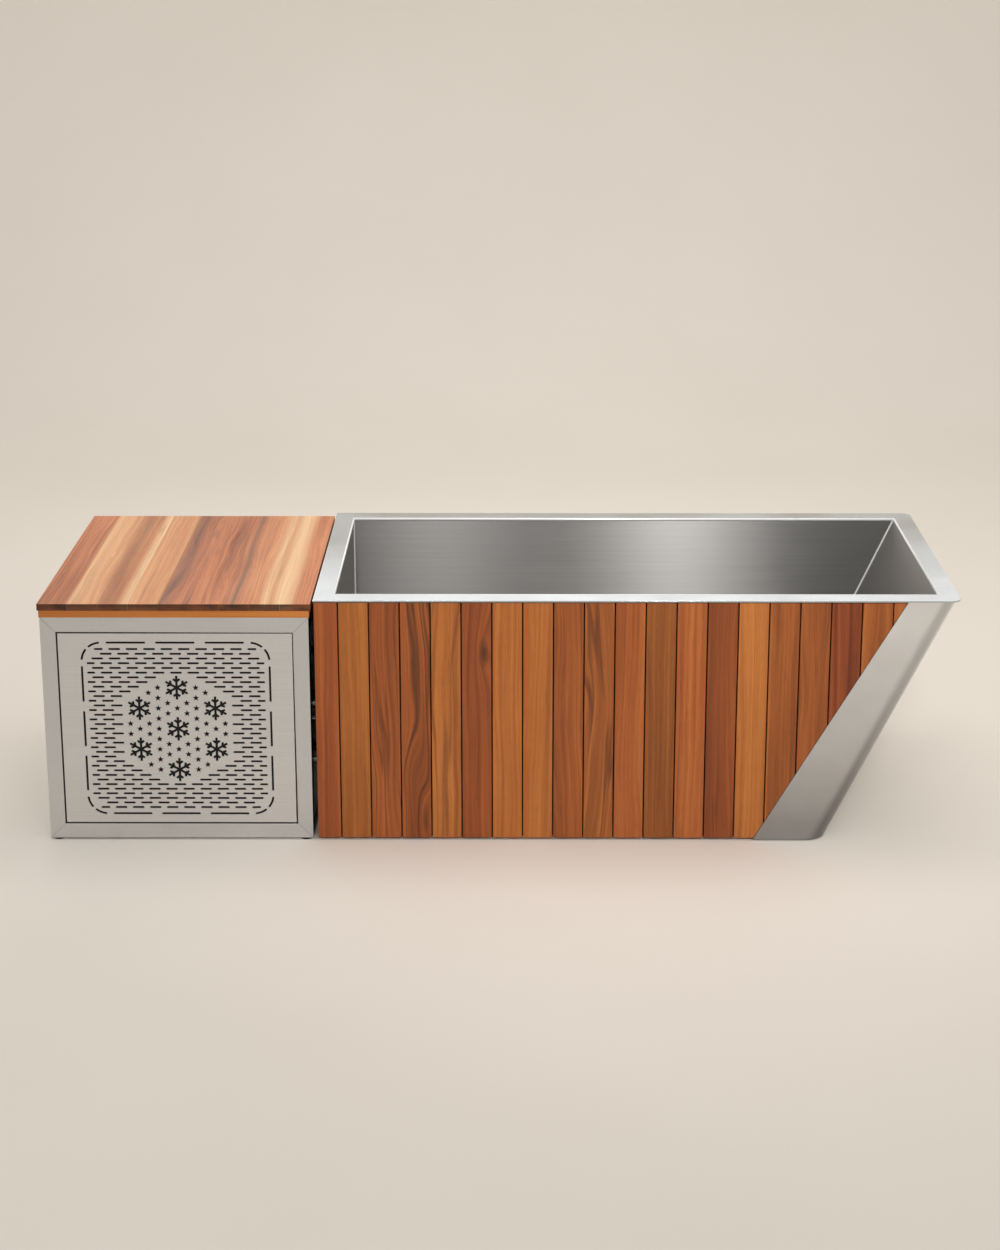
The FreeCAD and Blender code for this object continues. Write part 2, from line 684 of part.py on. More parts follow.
# Cabinet frames and the rails between them
keep(cut("cabinet_front_frame", group("front_bars", mitred_frame("front_bar", cabinet_front)),
         left_screw_holes() + bolt_cutters()))
keep(cut("cabinet_back_frame", group("back_bars", mitred_frame("back_bar", inner_back)),
         left_screw_holes() + back_screw_holes() + bolt_cutters()))
rail_sides = ((cabinet_left, inner_left), (inner_right, cabinet_right))
rail_levels = ((cabinet_low, inner_low), (inner_top, cabinet_top))
keep(group("cabinet_side_rails", [
    square_tube("side_rail", "Y", x, (inner_front, inner_back), z) for x in rail_sides for z in rail_levels]))
cabinet_feet = [(x, y) for x in (cabinet_left + mm.tube_side / 2, cabinet_right - mm.tube_side / 2)
                for y in (cabinet_front + mm.tube_side / 2, cabinet_back - mm.tube_side / 2)]
keep(group("cabinet_feet", [
    rod("cabinet_foot", "Z", (as_size(0), mm.foot_height), mm.foot_radius, place) for place in cabinet_feet]))

# Floor pan on the lower rails
keep(box("floor_pan", (cabinet_left + mm.panel_inset, cabinet_right - mm.panel_inset),
         (inner_front + mm.rest_gap, back_sheet_y[0] - mm.rest_gap), (inner_low, pan_top)))


def vent_rows(name, axis, depth, along, up, rows):
    """Level vent slots, cut as round-ended bars through a sheet, centred on along."""
    slots = []
    straight = mm.vent_length - mm.vent_width
    for row in range(rows):
        z = up + mm.vent_pitch * row
        for offset in (-1, 0, 1):
            middle = along + (mm.vent_length + mm.vent_pitch) * offset
            span = (middle - straight / 2, middle + straight / 2)
            level = (z - mm.vent_width / 2, z + mm.vent_width / 2)
            sides = (depth, span, level) if axis == "X" else (span, depth, level)
            slots.append(box(name + "_slot", *sides))
            slots += [rod(name + "_slot_end", axis, depth, mm.vent_width / 2, (end, z)) for end in span]
    return slots


# Vented left and back sheets
VENT_ROWS = 6
left_middle_y = (cabinet_front + cabinet_back) / 2
vent_low = cabinet_low + mm.condenser_height
left_vents = vent_rows("left_vent", "X", left_sheet_x, left_middle_y, vent_low, VENT_ROWS)
keep(cut("left_panel", box("left_sheet", left_sheet_x, (cabinet_front + mm.panel_inset,
                                                        cabinet_back - mm.panel_inset), left_sheet_z),
         left_vents + left_screw_holes()))
back_middle_x = (cabinet_left + cabinet_right) / 2
inlet_centre = (inner_left + mm.inlet_x, cabinet_low + mm.inlet_z)
outlet_x = tail_end + mm.socket_depth - mm.valve_length + mm.socket_depth - mm.pipe_run - mm.pipe_bend
outlet_z = fittings["drain"][1]
inlet_window = box("inlet_window",
                   (inlet_centre[0] - mm.inlet_length / 2 - mm.moving_gap,
                    inlet_centre[0] + mm.inlet_length / 2 + mm.moving_gap), back_sheet_y,
                   (inlet_centre[1] - mm.inlet_height / 2 - mm.moving_gap,
                    inlet_centre[1] + mm.inlet_height / 2 + mm.moving_gap))
outlet_hole = rod("outlet_hole", "Y", back_sheet_y, mm.pipe_radius + mm.hole_clearance, (outlet_x, outlet_z))
back_vents = vent_rows("back_vent", "Y", back_sheet_y, back_middle_x + mm.vent_length / 2, vent_low,
                       VENT_ROWS)
keep(cut("back_panel", box("back_sheet", (cabinet_left + mm.panel_inset, cabinet_right - mm.panel_inset),
                           back_sheet_y, back_sheet_z),
         [inlet_window, outlet_hole] + back_vents + back_screw_holes()))


def screw(axis, shank, head, place):
    return fuse("screw", [rod("screw_shank", axis, shank, mm.screw_radius, place),
                          rod("screw_head", axis, head, mm.screw_head, place)])


screws = [screw("X", left_screw_x, (left_sheet_x[0] - mm.screw_head_thick, left_sheet_x[0]), place)
          for place in left_screw_places]
screws += [screw("Y", back_screw_y, (back_sheet_y[0] - mm.screw_head_thick, back_sheet_y[0]), place)
           for place in back_screw_places]
keep(group("panel_screws", screws))

# Wooden top: edge-glued planks on a board
PLANKS = 9
lid_left = -half_length
plank_width = mm.lid_length / PLANKS
keep(group("lid_planks", [
    box("plank", (lid_left + plank_width * index, lid_left + plank_width * (index + 1)),
        (-half_width, half_width), (plank_bottom, lid_top)) for index in range(PLANKS)]))

# Butt hinges behind the lid: the pin is below the board and behind the frame
pin_y = (cabinet_back + half_width) / 2
pin_z = cabinet_top - mm.knuckle_radius
hinge_starts = [back_middle_x + mm.hinge_offset * side - mm.hinge_length / 2 for side in (-1, 1)]
leaf_front = pin_y - mm.leaf_reach
leaf_rear = pin_y + mm.knuckle_radius
lid_leaf_z = (board_bottom, board_bottom + mm.leaf_thick)
lid_leaves = []
frame_leaves = []
hinge_pins = []
mortises = []
for start in hinge_starts:
    whole = (start, start + mm.hinge_length)
    middle = (start + mm.knuckle_end + mm.knuckle_gap, whole[1] - mm.knuckle_end - mm.knuckle_gap)
    at_pin = (pin_y, pin_z)
    moving = fuse("lid_leaf", [
        rod("lid_knuckle", "X", middle, mm.knuckle_radius, at_pin),
        box("lid_neck", middle, (pin_y, leaf_rear), (pin_z, board_bottom)),
        box("lid_leaf_plate", whole, (leaf_front, leaf_rear), lid_leaf_z),
    ])
    lid_leaves.append(cut("lid_leaf_bored", moving, [
        rod("lid_knuckle_bore", "X", middle, mm.hinge_pin + mm.running_gap, at_pin)]))
    mortises.append(box("mortise", whole, (leaf_front, leaf_rear), lid_leaf_z))
    fixed = [box("frame_leaf_plate", whole, (cabinet_back, cabinet_back + mm.leaf_thick),
                 (pin_z - mm.leaf_reach, pin_z))]
    for span in ((whole[0], whole[0] + mm.knuckle_end), (whole[1] - mm.knuckle_end, whole[1])):
        fixed.append(rod("frame_knuckle", "X", span, mm.knuckle_radius, at_pin))
        fixed.append(box("frame_neck", span, (cabinet_back, pin_y),
                         (pin_z - mm.knuckle_radius, pin_z - mm.hinge_pin)))
    frame_leaves.append(cut("frame_leaf_bored", fuse("frame_leaf", fixed), [
        rod("frame_knuckle_bore", "X", whole, mm.hinge_pin, at_pin)]))
    hinge_pins.append(rod("hinge_pin", "X", whole, mm.hinge_pin, at_pin))
board_blank = box("board_blank", (lid_left + mm.board_inset, lid_left + mm.lid_length - mm.board_inset),
                  (mm.board_inset - half_width, half_width), (board_bottom, plank_bottom))
keep(cut("lid_base_board", board_blank, mortises))
keep(group("lid_hinge_lid_leaves", lid_leaves))
keep(group("lid_hinge_frame_leaves", frame_leaves))
keep(group("lid_hinge_pins", hinge_pins))

# Perforated door: a sheet with folded edges, turning on two pins near its right edge
door_x = (inner_left + mm.door_gap, inner_right - mm.door_gap)
door_z = (inner_low + mm.door_gap, inner_top - mm.door_gap)
door_front = cabinet_front + mm.door_recess
sheet_back = door_front + mm.door_sheet
return_end = sheet_back + mm.door_return
pivot_place = (door_x[1] - mm.pivot_inset, door_front + mm.pivot_depth)
door_centre = FreeCAD.Vector(float(door_x[0] + door_x[1]) / 2, float(door_front),
                             float(door_z[0] + door_z[1]) / 2)


def on_door(u, v):
    """A point on the door's front face, from its middle."""
    return door_centre + FreeCAD.Vector(u, 0, v)


def dash(u, v, length, width, upright=False):
    """A round-ended slot outline about a point of the door."""
    half = (length - width) / 2
    radius = width / 2

    def corner(along, across):
        return on_door(u + across, v + along) if upright else on_door(u + along, v + across)

    return Part.Wire([
        Part.LineSegment(corner(-half, -radius), corner(half, -radius)).toShape(),
        Part.Arc(corner(half, -radius), corner(half + radius, 0), corner(half, radius)).toShape(),
        Part.LineSegment(corner(half, radius), corner(-half, radius)).toShape(),
        Part.Arc(corner(-half, radius), corner(-half - radius, 0), corner(-half, -radius)).toShape(),
    ])


def curved_dash(u, v, radius, width, start, end):
    """A slot outline along an arc about a point of the door, between two angles in degrees."""
    def at(reach, angle):
        turn = math.radians(angle)
        return on_door(u + reach * math.cos(turn), v + reach * math.sin(turn))

    low = radius - width / 2
    high = radius + width / 2
    middle = (start + end) / 2
    return Part.Wire([
        Part.Arc(at(low, start), at(low, middle), at(low, end)).toShape(),
        Part.LineSegment(at(low, end), at(high, end)).toShape(),
        Part.Arc(at(high, end), at(high, middle), at(high, start)).toShape(),
        Part.LineSegment(at(high, start), at(low, start)).toShape(),
    ])


def strip(start, end, width):
    """A flat bar between two points of the door, as a face."""
    along = (end - start).normalize()
    across = FreeCAD.Vector(-along.z, 0, along.x) * (width / 2)
    corners = [start - across, end - across, end + across, start + across]
    return Part.Face(Part.makePolygon(corners + corners[:1]))


TWIG_ROOT = 0.52
TWIG_LENGTH = 0.34
TWIG_LEAN = 52


def snowflake(u, v, size, width):
    """Six straight arms, each with a pair of slanting twigs at its middle."""
    bars = []
    reach = size / 2
    for arm in range(6):
        angle = math.radians(30 + 60 * arm)
        heading = FreeCAD.Vector(math.cos(angle), 0, math.sin(angle)) * reach
        bars.append(strip(on_door(u, v), on_door(u, v) + heading, width))
        root = on_door(u, v) + heading * TWIG_ROOT
        for lean in (-TWIG_LEAN, TWIG_LEAN):
            turn = FreeCAD.Rotation(FreeCAD.Vector(0, 1, 0), lean)
            bars.append(strip(root, root + turn.multVec(heading) * TWIG_LENGTH, width))
    return bars[0].multiFuse(bars[1:]).removeSplitter().Faces[0].OuterWire


STAR_POINTS = 5
STAR_WAIST = 0.46


def star(u, v, size):
    """A star with blunt points, one of them at its top."""
    corners = []
    for index in range(2 * STAR_POINTS):
        angle = math.radians(90 + 180 * index / STAR_POINTS)
        reach = size / 2 * STAR_WAIST if index % 2 else size / 2
        corners.append(on_door(u + reach * math.cos(angle), v + reach * math.sin(angle)))
    return Part.makePolygon(corners + corners[:1])


def inside_hexagon(u, v, reach):
    """True inside a hexagon with a point at its top."""
    return max(abs(u), abs(u) / 2 + abs(v) * math.sqrt(3) / 2) < reach * math.sqrt(3) / 2


def border_reach(v, half_u, half_v, corner):
    """Half the width, at a height on the door, of a rounded rectangle about its middle."""
    past = max(abs(v) - (half_v - corner), 0)
    return half_u - corner + math.sqrt(max(corner ** 2 - past ** 2, 0))


STAR_STEPS = 4
SHORTEST_SLOT = 0.55


def door_openings():
    """The outlines cut in the door: a dashed border, rows of slots and a field of snowflakes."""
    width = float(mm.slot_width)
    half_u = float(door_x[1] - door_x[0]) / 2 - float(mm.border_margin_x)
    half_v = float(door_z[1] - door_z[0]) / 2 - float(mm.border_margin_z)
    corner = float(mm.border_corner)
    outlines = []
    for half, reach, upright in ((half_u, half_v, False), (half_v, half_u, True)):
        step = 2 * (half - corner) / 3
        for side in (-1, 1):
            for index in (-1, 0, 1):
                place = (side * reach, index * step) if upright else (index * step, side * reach)
                outlines.append(dash(*place, step - corner / 2, width, upright))
    for quarter in range(4):
        sign_u = 1 if quarter in (0, 3) else -1
        sign_v = 1 if quarter in (0, 1) else -1
        for start in (5, 50):
            outlines.append(curved_dash(sign_u * (half_u - corner), sign_v * (half_v - corner), corner, width,
                                        90 * quarter + start, 90 * quarter + start + 35))
    length = float(mm.slot_length)
    pitch = float(mm.slot_pitch)
    row_step = float(mm.slot_row)
    field = float(mm.field_half)
    margin = row_step
    row_count = math.floor((half_v - margin) / row_step)
    column_count = math.ceil(half_u / pitch) + 1
    for row in range(-row_count, row_count + 1):
        v = row * row_step
        reach = border_reach(v, half_u - margin, half_v - margin, corner - margin)
        for column in range(-column_count, column_count + 1):
            u = (column + (row % 2) / 2) * pitch
            left = max(u - length / 2, -reach)
            right = min(u + length / 2, reach)
            if right - left < SHORTEST_SLOT * length:
                continue
            if not any(inside_hexagon(end, v, field) for end in (left, right)):
                outlines.append(dash((left + right) / 2, v, right - left, width))
    flake_ring = float(mm.flake_ring)
    turns = [math.radians(30 + 60 * arm) for arm in range(6)]
    flakes = [(0, 0)] + [(flake_ring * math.cos(turn), flake_ring * math.sin(turn)) for turn in turns]
    outlines += [snowflake(*flake, float(mm.flake_size), float(mm.flake_stroke)) for flake in flakes]
    grid = flake_ring / STAR_STEPS
    clear = (float(mm.flake_size) + float(mm.star_size)) / 2
    for row in range(-2 * STAR_STEPS, 2 * STAR_STEPS + 1):
        for column in range(-2 * STAR_STEPS, 2 * STAR_STEPS + 1):
            place = (row * grid * math.cos(turns[0]), (column + row / 2) * grid)
            in_field = inside_hexagon(*place, field - float(mm.star_size))
            if in_field and all(math.dist(place, flake) > clear for flake in flakes):
                outlines.append(star(*place, float(mm.star_size)))
    return outlines


def facing(outline):
    """The way an outline on the door runs, as the sign of its face's normal."""
    return Part.Face(outline).normalAt(0, 0).y


edge_corners = [FreeCAD.Vector(float(x), float(door_front), float(z))
                for x, z in ((door_x[0], door_z[0]), (door_x[1], door_z[0]),
                             (door_x[1], door_z[1]), (door_x[0], door_z[1]))]
door_edge = Part.makePolygon(edge_corners + edge_corners[:1])
door_holes = [hole.reversed() if facing(hole) * facing(door_edge) > 0 else hole for hole in door_openings()]
pierced = Part.Face([door_edge, *door_holes])
keep(feature("vent_door", pierced.extrude(FreeCAD.Vector(0, float(mm.door_sheet), 0))))

# Folded edge frame welded behind the perforated sheet, bored for the pivot bushes
fold_y = (sheet_back, return_end)
fold_inside = box("fold_inside", (door_x[0] + mm.door_sheet, door_x[1] - mm.door_sheet), fold_y,
                  (door_z[0] + mm.door_sheet, door_z[1] - mm.door_sheet))
bush_hole = rod("bush_hole", "Z", door_z, mm.bush_radius + mm.running_gap, pivot_place)
keep(cut("door_edge_frame", box("fold_outside", door_x, fold_y, door_z), [fold_inside, bush_hole]))

# Dust screen on the back of the perforated sheet
keep(box("dust_screen", (door_x[0] + mm.screen_margin, door_x[1] - mm.screen_margin),
         (sheet_back, sheet_back + mm.screen_thick),
         (door_z[0] + mm.screen_margin, door_z[1] - mm.screen_margin)))

# Pivot pins on the frame and flanged bushes in the door's folds
pins = [rod("low_pin", "Z", (inner_low, inner_low + mm.pivot_length), mm.pivot_pin, pivot_place),
        rod("high_pin", "Z", (inner_top - mm.pivot_length, inner_top), mm.pivot_pin, pivot_place)]
keep(group("door_pivot_pins", pins))


def pivot_bush(name, seat, flange_z, sleeve_z):
    sleeve = rod(name + "_sleeve", "Z", sleeve_z, mm.bush_radius, pivot_place)
    flange = rod(name + "_flange", "Z", flange_z, mm.bush_flange, pivot_place)
    bore = rod(name + "_bore", "Z", seat, mm.pivot_pin + mm.running_gap, pivot_place)
    return cut(name, fuse(name + "_solid", [sleeve, flange]), [bore])


low_seat = (inner_low + mm.moving_gap, inner_low + mm.pivot_length)
high_seat = (inner_top - mm.pivot_length, inner_top - mm.moving_gap)
keep(group("door_pivot_bushes", [
    pivot_bush("low_bush", low_seat, (low_seat[0], door_z[0]), (door_z[0], low_seat[1])),
    pivot_bush("high_bush", high_seat, (door_z[1], high_seat[1]), (high_seat[0], door_z[1])),
]))

# Magnetic catch on the left upright and its strike on the door's left fold
catch_middle = (door_z[0] + door_z[1]) / 2
catch_z = (catch_middle - mm.catch_height / 2, catch_middle + mm.catch_height / 2)
catch_front = return_end + mm.moving_gap
keep(box("door_catch", (inner_left, inner_left + mm.catch_width),
         (catch_front, catch_front + mm.catch_depth), catch_z))
strike_left = door_x[0] + mm.door_sheet
keep(box("door_strike", (strike_left, strike_left + mm.strike_width),
         (return_end - mm.strike_thick, return_end), catch_z))

# Condenser: finned coil between end plates, standing on the floor pan behind the door
condenser_x = (inner_left + mm.condenser_left, inner_left + mm.condenser_left + mm.condenser_length)
condenser_y = (inner_front + mm.condenser_front, inner_front + mm.condenser_front + mm.condenser_depth)
condenser_z = (pan_top, pan_top + mm.condenser_height)
condenser_middle_y = (condenser_y[0] + condenser_y[1]) / 2
fin_z = (condenser_z[0] + mm.end_plate, condenser_z[1] - mm.end_plate)
coil_pieces = [
    box("end_plate", (condenser_x[0], condenser_x[0] + mm.end_plate), condenser_y, condenser_z),
    box("end_plate", (condenser_x[1] - mm.end_plate, condenser_x[1]), condenser_y, condenser_z),
    box("top_plate", condenser_x, condenser_y, (fin_z[1], condenser_z[1])),
]
FINS = 33
fin_step = mm.condenser_length / (FINS + 1)
for index in range(1, FINS + 1):
    fin_left = condenser_x[0] + fin_step * index - mm.fin_thick / 2
    coil_pieces.append(box("fin", (fin_left, fin_left + mm.fin_thick), condenser_y, fin_z))
COIL_ROWS = 6
coil_step = mm.condenser_height / COIL_ROWS
for row in range(COIL_ROWS):
    coil_z = condenser_z[0] + coil_step * row + coil_step / 2
    for share in (0.25, 0.75):
        coil_y = condenser_y[0] + mm.condenser_depth * share
        coil_pieces.append(rod("coil_tube", "X", condenser_x, mm.coil_radius, (coil_y, coil_z)))
keep(fuse("condenser", coil_pieces))

# Fan shroud behind the condenser, with a round throat for the fan
control_x = (condenser_x[1] - mm.control_inset - mm.control_length, condenser_x[1] - mm.control_inset)
shroud_y = (condenser_y[1], condenser_y[1] + mm.shroud_depth)
fan_x = (condenser_x[0] + condenser_x[1]) / 2
fan_z = (condenser_z[0] + condenser_z[1]) / 2
throat = rod("throat", "Y", shroud_y, mm.fan_radius + mm.fan_tip_gap, (fan_x, fan_z))
keep(cut("fan_shroud", box("shroud_block", condenser_x, shroud_y, condenser_z), [throat]))

# Fan motor on two crossed arms across the throat
arm_reach = mm.fan_radius + mm.fan_tip_gap + mm.arm_width
arm_y = (shroud_y[1], shroud_y[1] + mm.arm_thick)
motor_y = (arm_y[1], arm_y[1] + mm.fan_motor_length)
shaft_end = arm_y[1] + mm.fan_motor_length / 3
motor_body = fuse("fan_motor_body", [
    box("level_arm", (fan_x - arm_reach, fan_x + arm_reach), arm_y,
        (fan_z - mm.arm_width / 2, fan_z + mm.arm_width / 2)),
    box("upright_arm", (fan_x - mm.arm_width / 2, fan_x + mm.arm_width / 2), arm_y,
        (fan_z - arm_reach, fan_z + arm_reach)),
    rod("fan_motor_can", "Y", motor_y, mm.fan_motor_radius, (fan_x, fan_z)),
])
keep(cut("fan_motor", motor_body, [
    rod("fan_bearing", "Y", (arm_y[0], shaft_end), mm.fan_shaft + mm.running_gap, (fan_x, fan_z))]))

# Fan: a hub with pitched blades and the shaft that runs in the motor
BLADES = 5
BLADE_PITCH = 25
hub_start = (shroud_y[0] + shroud_y[1]) / 2 - mm.fan_depth / 2


def fan_cylinder(radius, length):
    """A round bar on the fan's axis, from the front of its hub."""
    start = FreeCAD.Vector(float(fan_x), float(hub_start), float(fan_z))
    return Part.makeCylinder(float(radius), float(length), start, FreeCAD.Vector(0, 1, 0))


hub = fan_cylinder(mm.fan_hub, mm.fan_depth)
shaft = fan_cylinder(mm.fan_shaft, shaft_end - mm.moving_gap - hub_start)
blade_chord = (float(mm.fan_depth) - float(mm.blade_thick)) / math.sin(math.radians(BLADE_PITCH))
hub_overlap = float(mm.fan_hub) / 2
blades = []
for index in range(BLADES):
    blade = Part.makeBox(float(mm.fan_radius) - hub_overlap, float(mm.blade_thick), blade_chord,
                         FreeCAD.Vector(hub_overlap, -float(mm.blade_thick) / 2, -blade_chord / 2))
    blade.rotate(FreeCAD.Vector(), FreeCAD.Vector(1, 0, 0), 90 - BLADE_PITCH)
    blade.rotate(FreeCAD.Vector(), FreeCAD.Vector(0, 1, 0), 360 * index / BLADES)
    blade.translate(FreeCAD.Vector(float(fan_x), float(hub_start + mm.fan_depth / 2), float(fan_z)))
    blades.append(blade)
sweep = fan_cylinder(mm.fan_radius, mm.fan_depth)
fan_pieces = [shaft, *[blade.common(sweep) for blade in blades]]
keep(feature("fan_blades", hub.multiFuse(fan_pieces).removeSplitter()))

# Compressor: a domed can on four rubber mounts
compressor_place = (inner_left + mm.compressor_x, inner_back - mm.compressor_back)
can_low = pan_top + mm.mount_height
can_top = can_low + mm.compressor_height
can_points = [
    (as_size(0), can_low), (mm.compressor_radius, can_low),
    (mm.compressor_radius, can_top - mm.compressor_dome),
    (mm.compressor_radius - mm.compressor_dome, can_top), (as_size(0), can_top),
]
keep(revolved_body("compressor", can_points, *compressor_place))
mount_offset = (mm.compressor_radius - mm.mount_radius) / math.sqrt(2)
keep(group("compressor_mounts", [
    rod("mount", "Z", (pan_top, can_low), mm.mount_radius,
        (compressor_place[0] + mount_offset * side_x, compressor_place[1] + mount_offset * side_y))
    for side_x in (-1, 1) for side_y in (-1, 1)]))

# Evaporator: a barrel that the water passes through
barrel_place = (inner_left + mm.barrel_x, inner_back - mm.barrel_back)
barrel_z = (pan_top, pan_top + mm.barrel_height)
filter_place = (inner_right - mm.pump_right, barrel_place[1])
cross_z = pan_top + mm.filter_port_z
barrel_right = barrel_place[0] + mm.barrel_radius
barrel_front = barrel_place[1] - mm.barrel_radius
barrel_ports = [
    rod("barrel_inlet", "X", (barrel_place[0], barrel_right + mm.neck_length), mm.fitting_tail,
        (barrel_place[1], cross_z)),
    rod("barrel_outlet", "Y", (barrel_front - mm.neck_length, barrel_place[1]), mm.fitting_tail,
        (barrel_place[0], return_z)),
]
barrel_bores = [
    rod("barrel_inlet_bore", "X", (barrel_place[0], barrel_right + mm.neck_length), mm.fitting_bore,
        (barrel_place[1], cross_z)),
    rod("barrel_outlet_bore", "Y", (barrel_front - mm.neck_length, barrel_place[1]), mm.fitting_bore,
        (barrel_place[0], return_z)),
    rod("barrel_space", "Z", (barrel_z[0] + mm.barrel_wall, barrel_z[1] - mm.barrel_wall),
        mm.barrel_radius - mm.barrel_wall, barrel_place),
]
barrel_can = rod("barrel_can", "Z", barrel_z, mm.barrel_radius, barrel_place)
keep(cut("evaporator", fuse("barrel_solid", [barrel_can, *barrel_ports]), barrel_bores))

# Copper lines: compressor to condenser, condenser to evaporator and evaporator to compressor
line_x = control_x[0] - mm.line_spread
discharge_y = compressor_place[1] - mm.line_spread
discharge_z = can_top + mm.discharge_rise
liquid_z = barrel_z[1] + mm.liquid_rise
suction_line_z = can_top + mm.suction_rise
line_routes = (
    ((compressor_place[0], discharge_y, can_top), (compressor_place[0], discharge_y, discharge_z),
     (compressor_place[0], condenser_middle_y, discharge_z),
     (compressor_place[0], condenser_middle_y, condenser_z[1])),
    ((line_x, condenser_middle_y, condenser_z[1]), (line_x, condenser_middle_y, liquid_z),
     (line_x, barrel_place[1], liquid_z), (line_x, barrel_place[1], barrel_z[1])),
    ((barrel_place[0], compressor_place[1], barrel_z[1]),
     (barrel_place[0], compressor_place[1], suction_line_z),
     (*compressor_place, suction_line_z), (*compressor_place, can_top)),
)
keep(feature("refrigerant_lines", Part.Compound([
    bent_tube(route, mm.line_bend, mm.line_radius) for route in line_routes])))

# Circulation pump: a volute in line with the suction fitting, its motor behind it on a foot
pump_place = (suction_y, mm.suction_z)
pump_x = filter_place[0]
volute_x = (pump_x - mm.volute_length / 2, pump_x + mm.volute_length / 2)
cavity_x = (volute_x[0] + mm.volute_wall, volute_x[1] - mm.volute_wall)
cavity_radius = mm.volute_radius - mm.volute_wall
outlet_top = mm.suction_z + mm.volute_radius + mm.neck_length
pump_inlet_end = volute_x[1] + mm.neck_length
housing_solid = fuse("pump_housing_solid", [
    rod("volute", "X", volute_x, mm.volute_radius, pump_place),
    rod("pump_inlet", "X", (volute_x[1], pump_inlet_end), mm.fitting_tail, pump_place),
    rod("pump_outlet", "Z", (mm.suction_z, outlet_top), mm.fitting_tail, (pump_x, suction_y)),
])
keep(cut("pump_housing", housing_solid, [
    rod("pump_cavity", "X", cavity_x, cavity_radius, pump_place),
    rod("pump_inlet_bore", "X", (pump_x, pump_inlet_end), mm.fitting_bore, pump_place),
    rod("pump_outlet_bore", "Z", (mm.suction_z, outlet_top), mm.fitting_bore, (pump_x, suction_y)),
    rod("pump_shaft_hole", "X", (volute_x[0], pump_x), mm.impeller_shaft + mm.running_gap, pump_place),
]))
motor_x = (volute_x[0] - mm.pump_motor_length, volute_x[0])
foot_x = (motor_x[0] + mm.pump_motor_length / 4, motor_x[1] - mm.pump_motor_length / 4)
shaft_depth = mm.pump_motor_length / 5
motor_solid = fuse("pump_motor_solid", [
    rod("pump_motor_can", "X", motor_x, mm.pump_motor_radius, pump_place),
    box("pump_foot", foot_x, (suction_y - mm.pump_foot_width / 2, suction_y + mm.pump_foot_width / 2),
        (pan_top, mm.suction_z)),
])
keep(cut("pump_motor", motor_solid, [
    rod("pump_bearing", "X", (volute_x[0] - shaft_depth, volute_x[0]), mm.impeller_shaft + mm.running_gap,
        pump_place)]))

# Impeller: a disc with straight vanes on the motor shaft
disc_x = (cavity_x[0] + mm.impeller_gap, cavity_x[0] + mm.impeller_gap + mm.impeller_disc)
vane_length = float(cavity_x[1] - mm.impeller_gap - disc_x[1])
impeller_radius = float(cavity_radius - mm.impeller_gap)
VANES = 6
vanes = []
for index in range(VANES):
    vane = Part.makeBox(vane_length, impeller_radius, float(mm.vane_thick),
                        FreeCAD.Vector(0, 0, -float(mm.vane_thick) / 2))
    vane.rotate(FreeCAD.Vector(), FreeCAD.Vector(1, 0, 0), 360 * index / VANES)
    vane.translate(FreeCAD.Vector(float(disc_x[1]), float(suction_y), float(mm.suction_z)))
    vanes.append(vane)


def pump_cylinder(start, end, radius):
    return Part.makeCylinder(float(radius), float(end - start),
                             FreeCAD.Vector(float(start), float(suction_y), float(mm.suction_z)),
                             FreeCAD.Vector(1, 0, 0))


vane_space = pump_cylinder(disc_x[0], cavity_x[1], impeller_radius)
impeller_disc = pump_cylinder(*disc_x, impeller_radius)
impeller_shaft = pump_cylinder(volute_x[0] - shaft_depth + mm.moving_gap, disc_x[1], mm.impeller_shaft)
keep(feature("pump_impeller", impeller_disc.multiFuse(
    [impeller_shaft, *[vane.common(vane_space) for vane in vanes]]).removeSplitter()))

# Filter: an open housing with two necks, a cartridge inside and a quarter-turn cap
filter_z = (pan_top, pan_top + mm.filter_height)
filter_inlet_z = pan_top + mm.filter_inlet_z
filter_left = filter_place[0] - mm.filter_radius
filter_front = filter_place[1] - mm.filter_radius
filter_inside = mm.filter_radius - mm.filter_wall
filter_floor = filter_z[0] + mm.filter_wall
filter_solid = fuse("filter_solid", [
    rod("filter_can", "Z", filter_z, mm.filter_radius, filter_place),
    rod("filter_outlet", "X", (filter_left - mm.neck_length, filter_place[0]), mm.fitting_tail,
        (filter_place[1], cross_z)),
    rod("filter_inlet", "Y", (filter_front - mm.neck_length, filter_place[1]), mm.fitting_tail,
        (filter_place[0], filter_inlet_z)),
])
keep(cut("filter_housing", filter_solid, [
    rod("filter_space", "Z", (filter_floor, filter_z[1]), filter_inside, filter_place),
    rod("filter_outlet_bore", "X", (filter_left - mm.neck_length, filter_place[0]), mm.fitting_bore,
        (filter_place[1], cross_z)),
    rod("filter_inlet_bore", "Y", (filter_front - mm.neck_length, filter_place[1]), mm.fitting_bore,
        (filter_place[0], filter_inlet_z)),
]))
cap_z = (filter_z[1] + mm.moving_gap, filter_z[1] + mm.moving_gap + mm.cap_thick)
plug_low = cap_z[0] - mm.cap_plug
keep(ring("filter_cartridge", "Z", (filter_floor, plug_low - mm.moving_gap), mm.cartridge_radius,
          mm.cartridge_bore, filter_place))
keep(fuse("filter_cap", [
    rod("cap_disc", "Z", cap_z, mm.filter_radius + mm.cap_lip, filter_place),
    rod("cap_plug", "Z", (plug_low, cap_z[0]), filter_inside - mm.moving_gap, filter_place),
    box("cap_bar", (filter_place[0] - filter_inside, filter_place[0] + filter_inside),
        (filter_place[1] - mm.cap_bar / 2, filter_place[1] + mm.cap_bar / 2),
        (cap_z[1], cap_z[1] + mm.cap_bar)),
]))

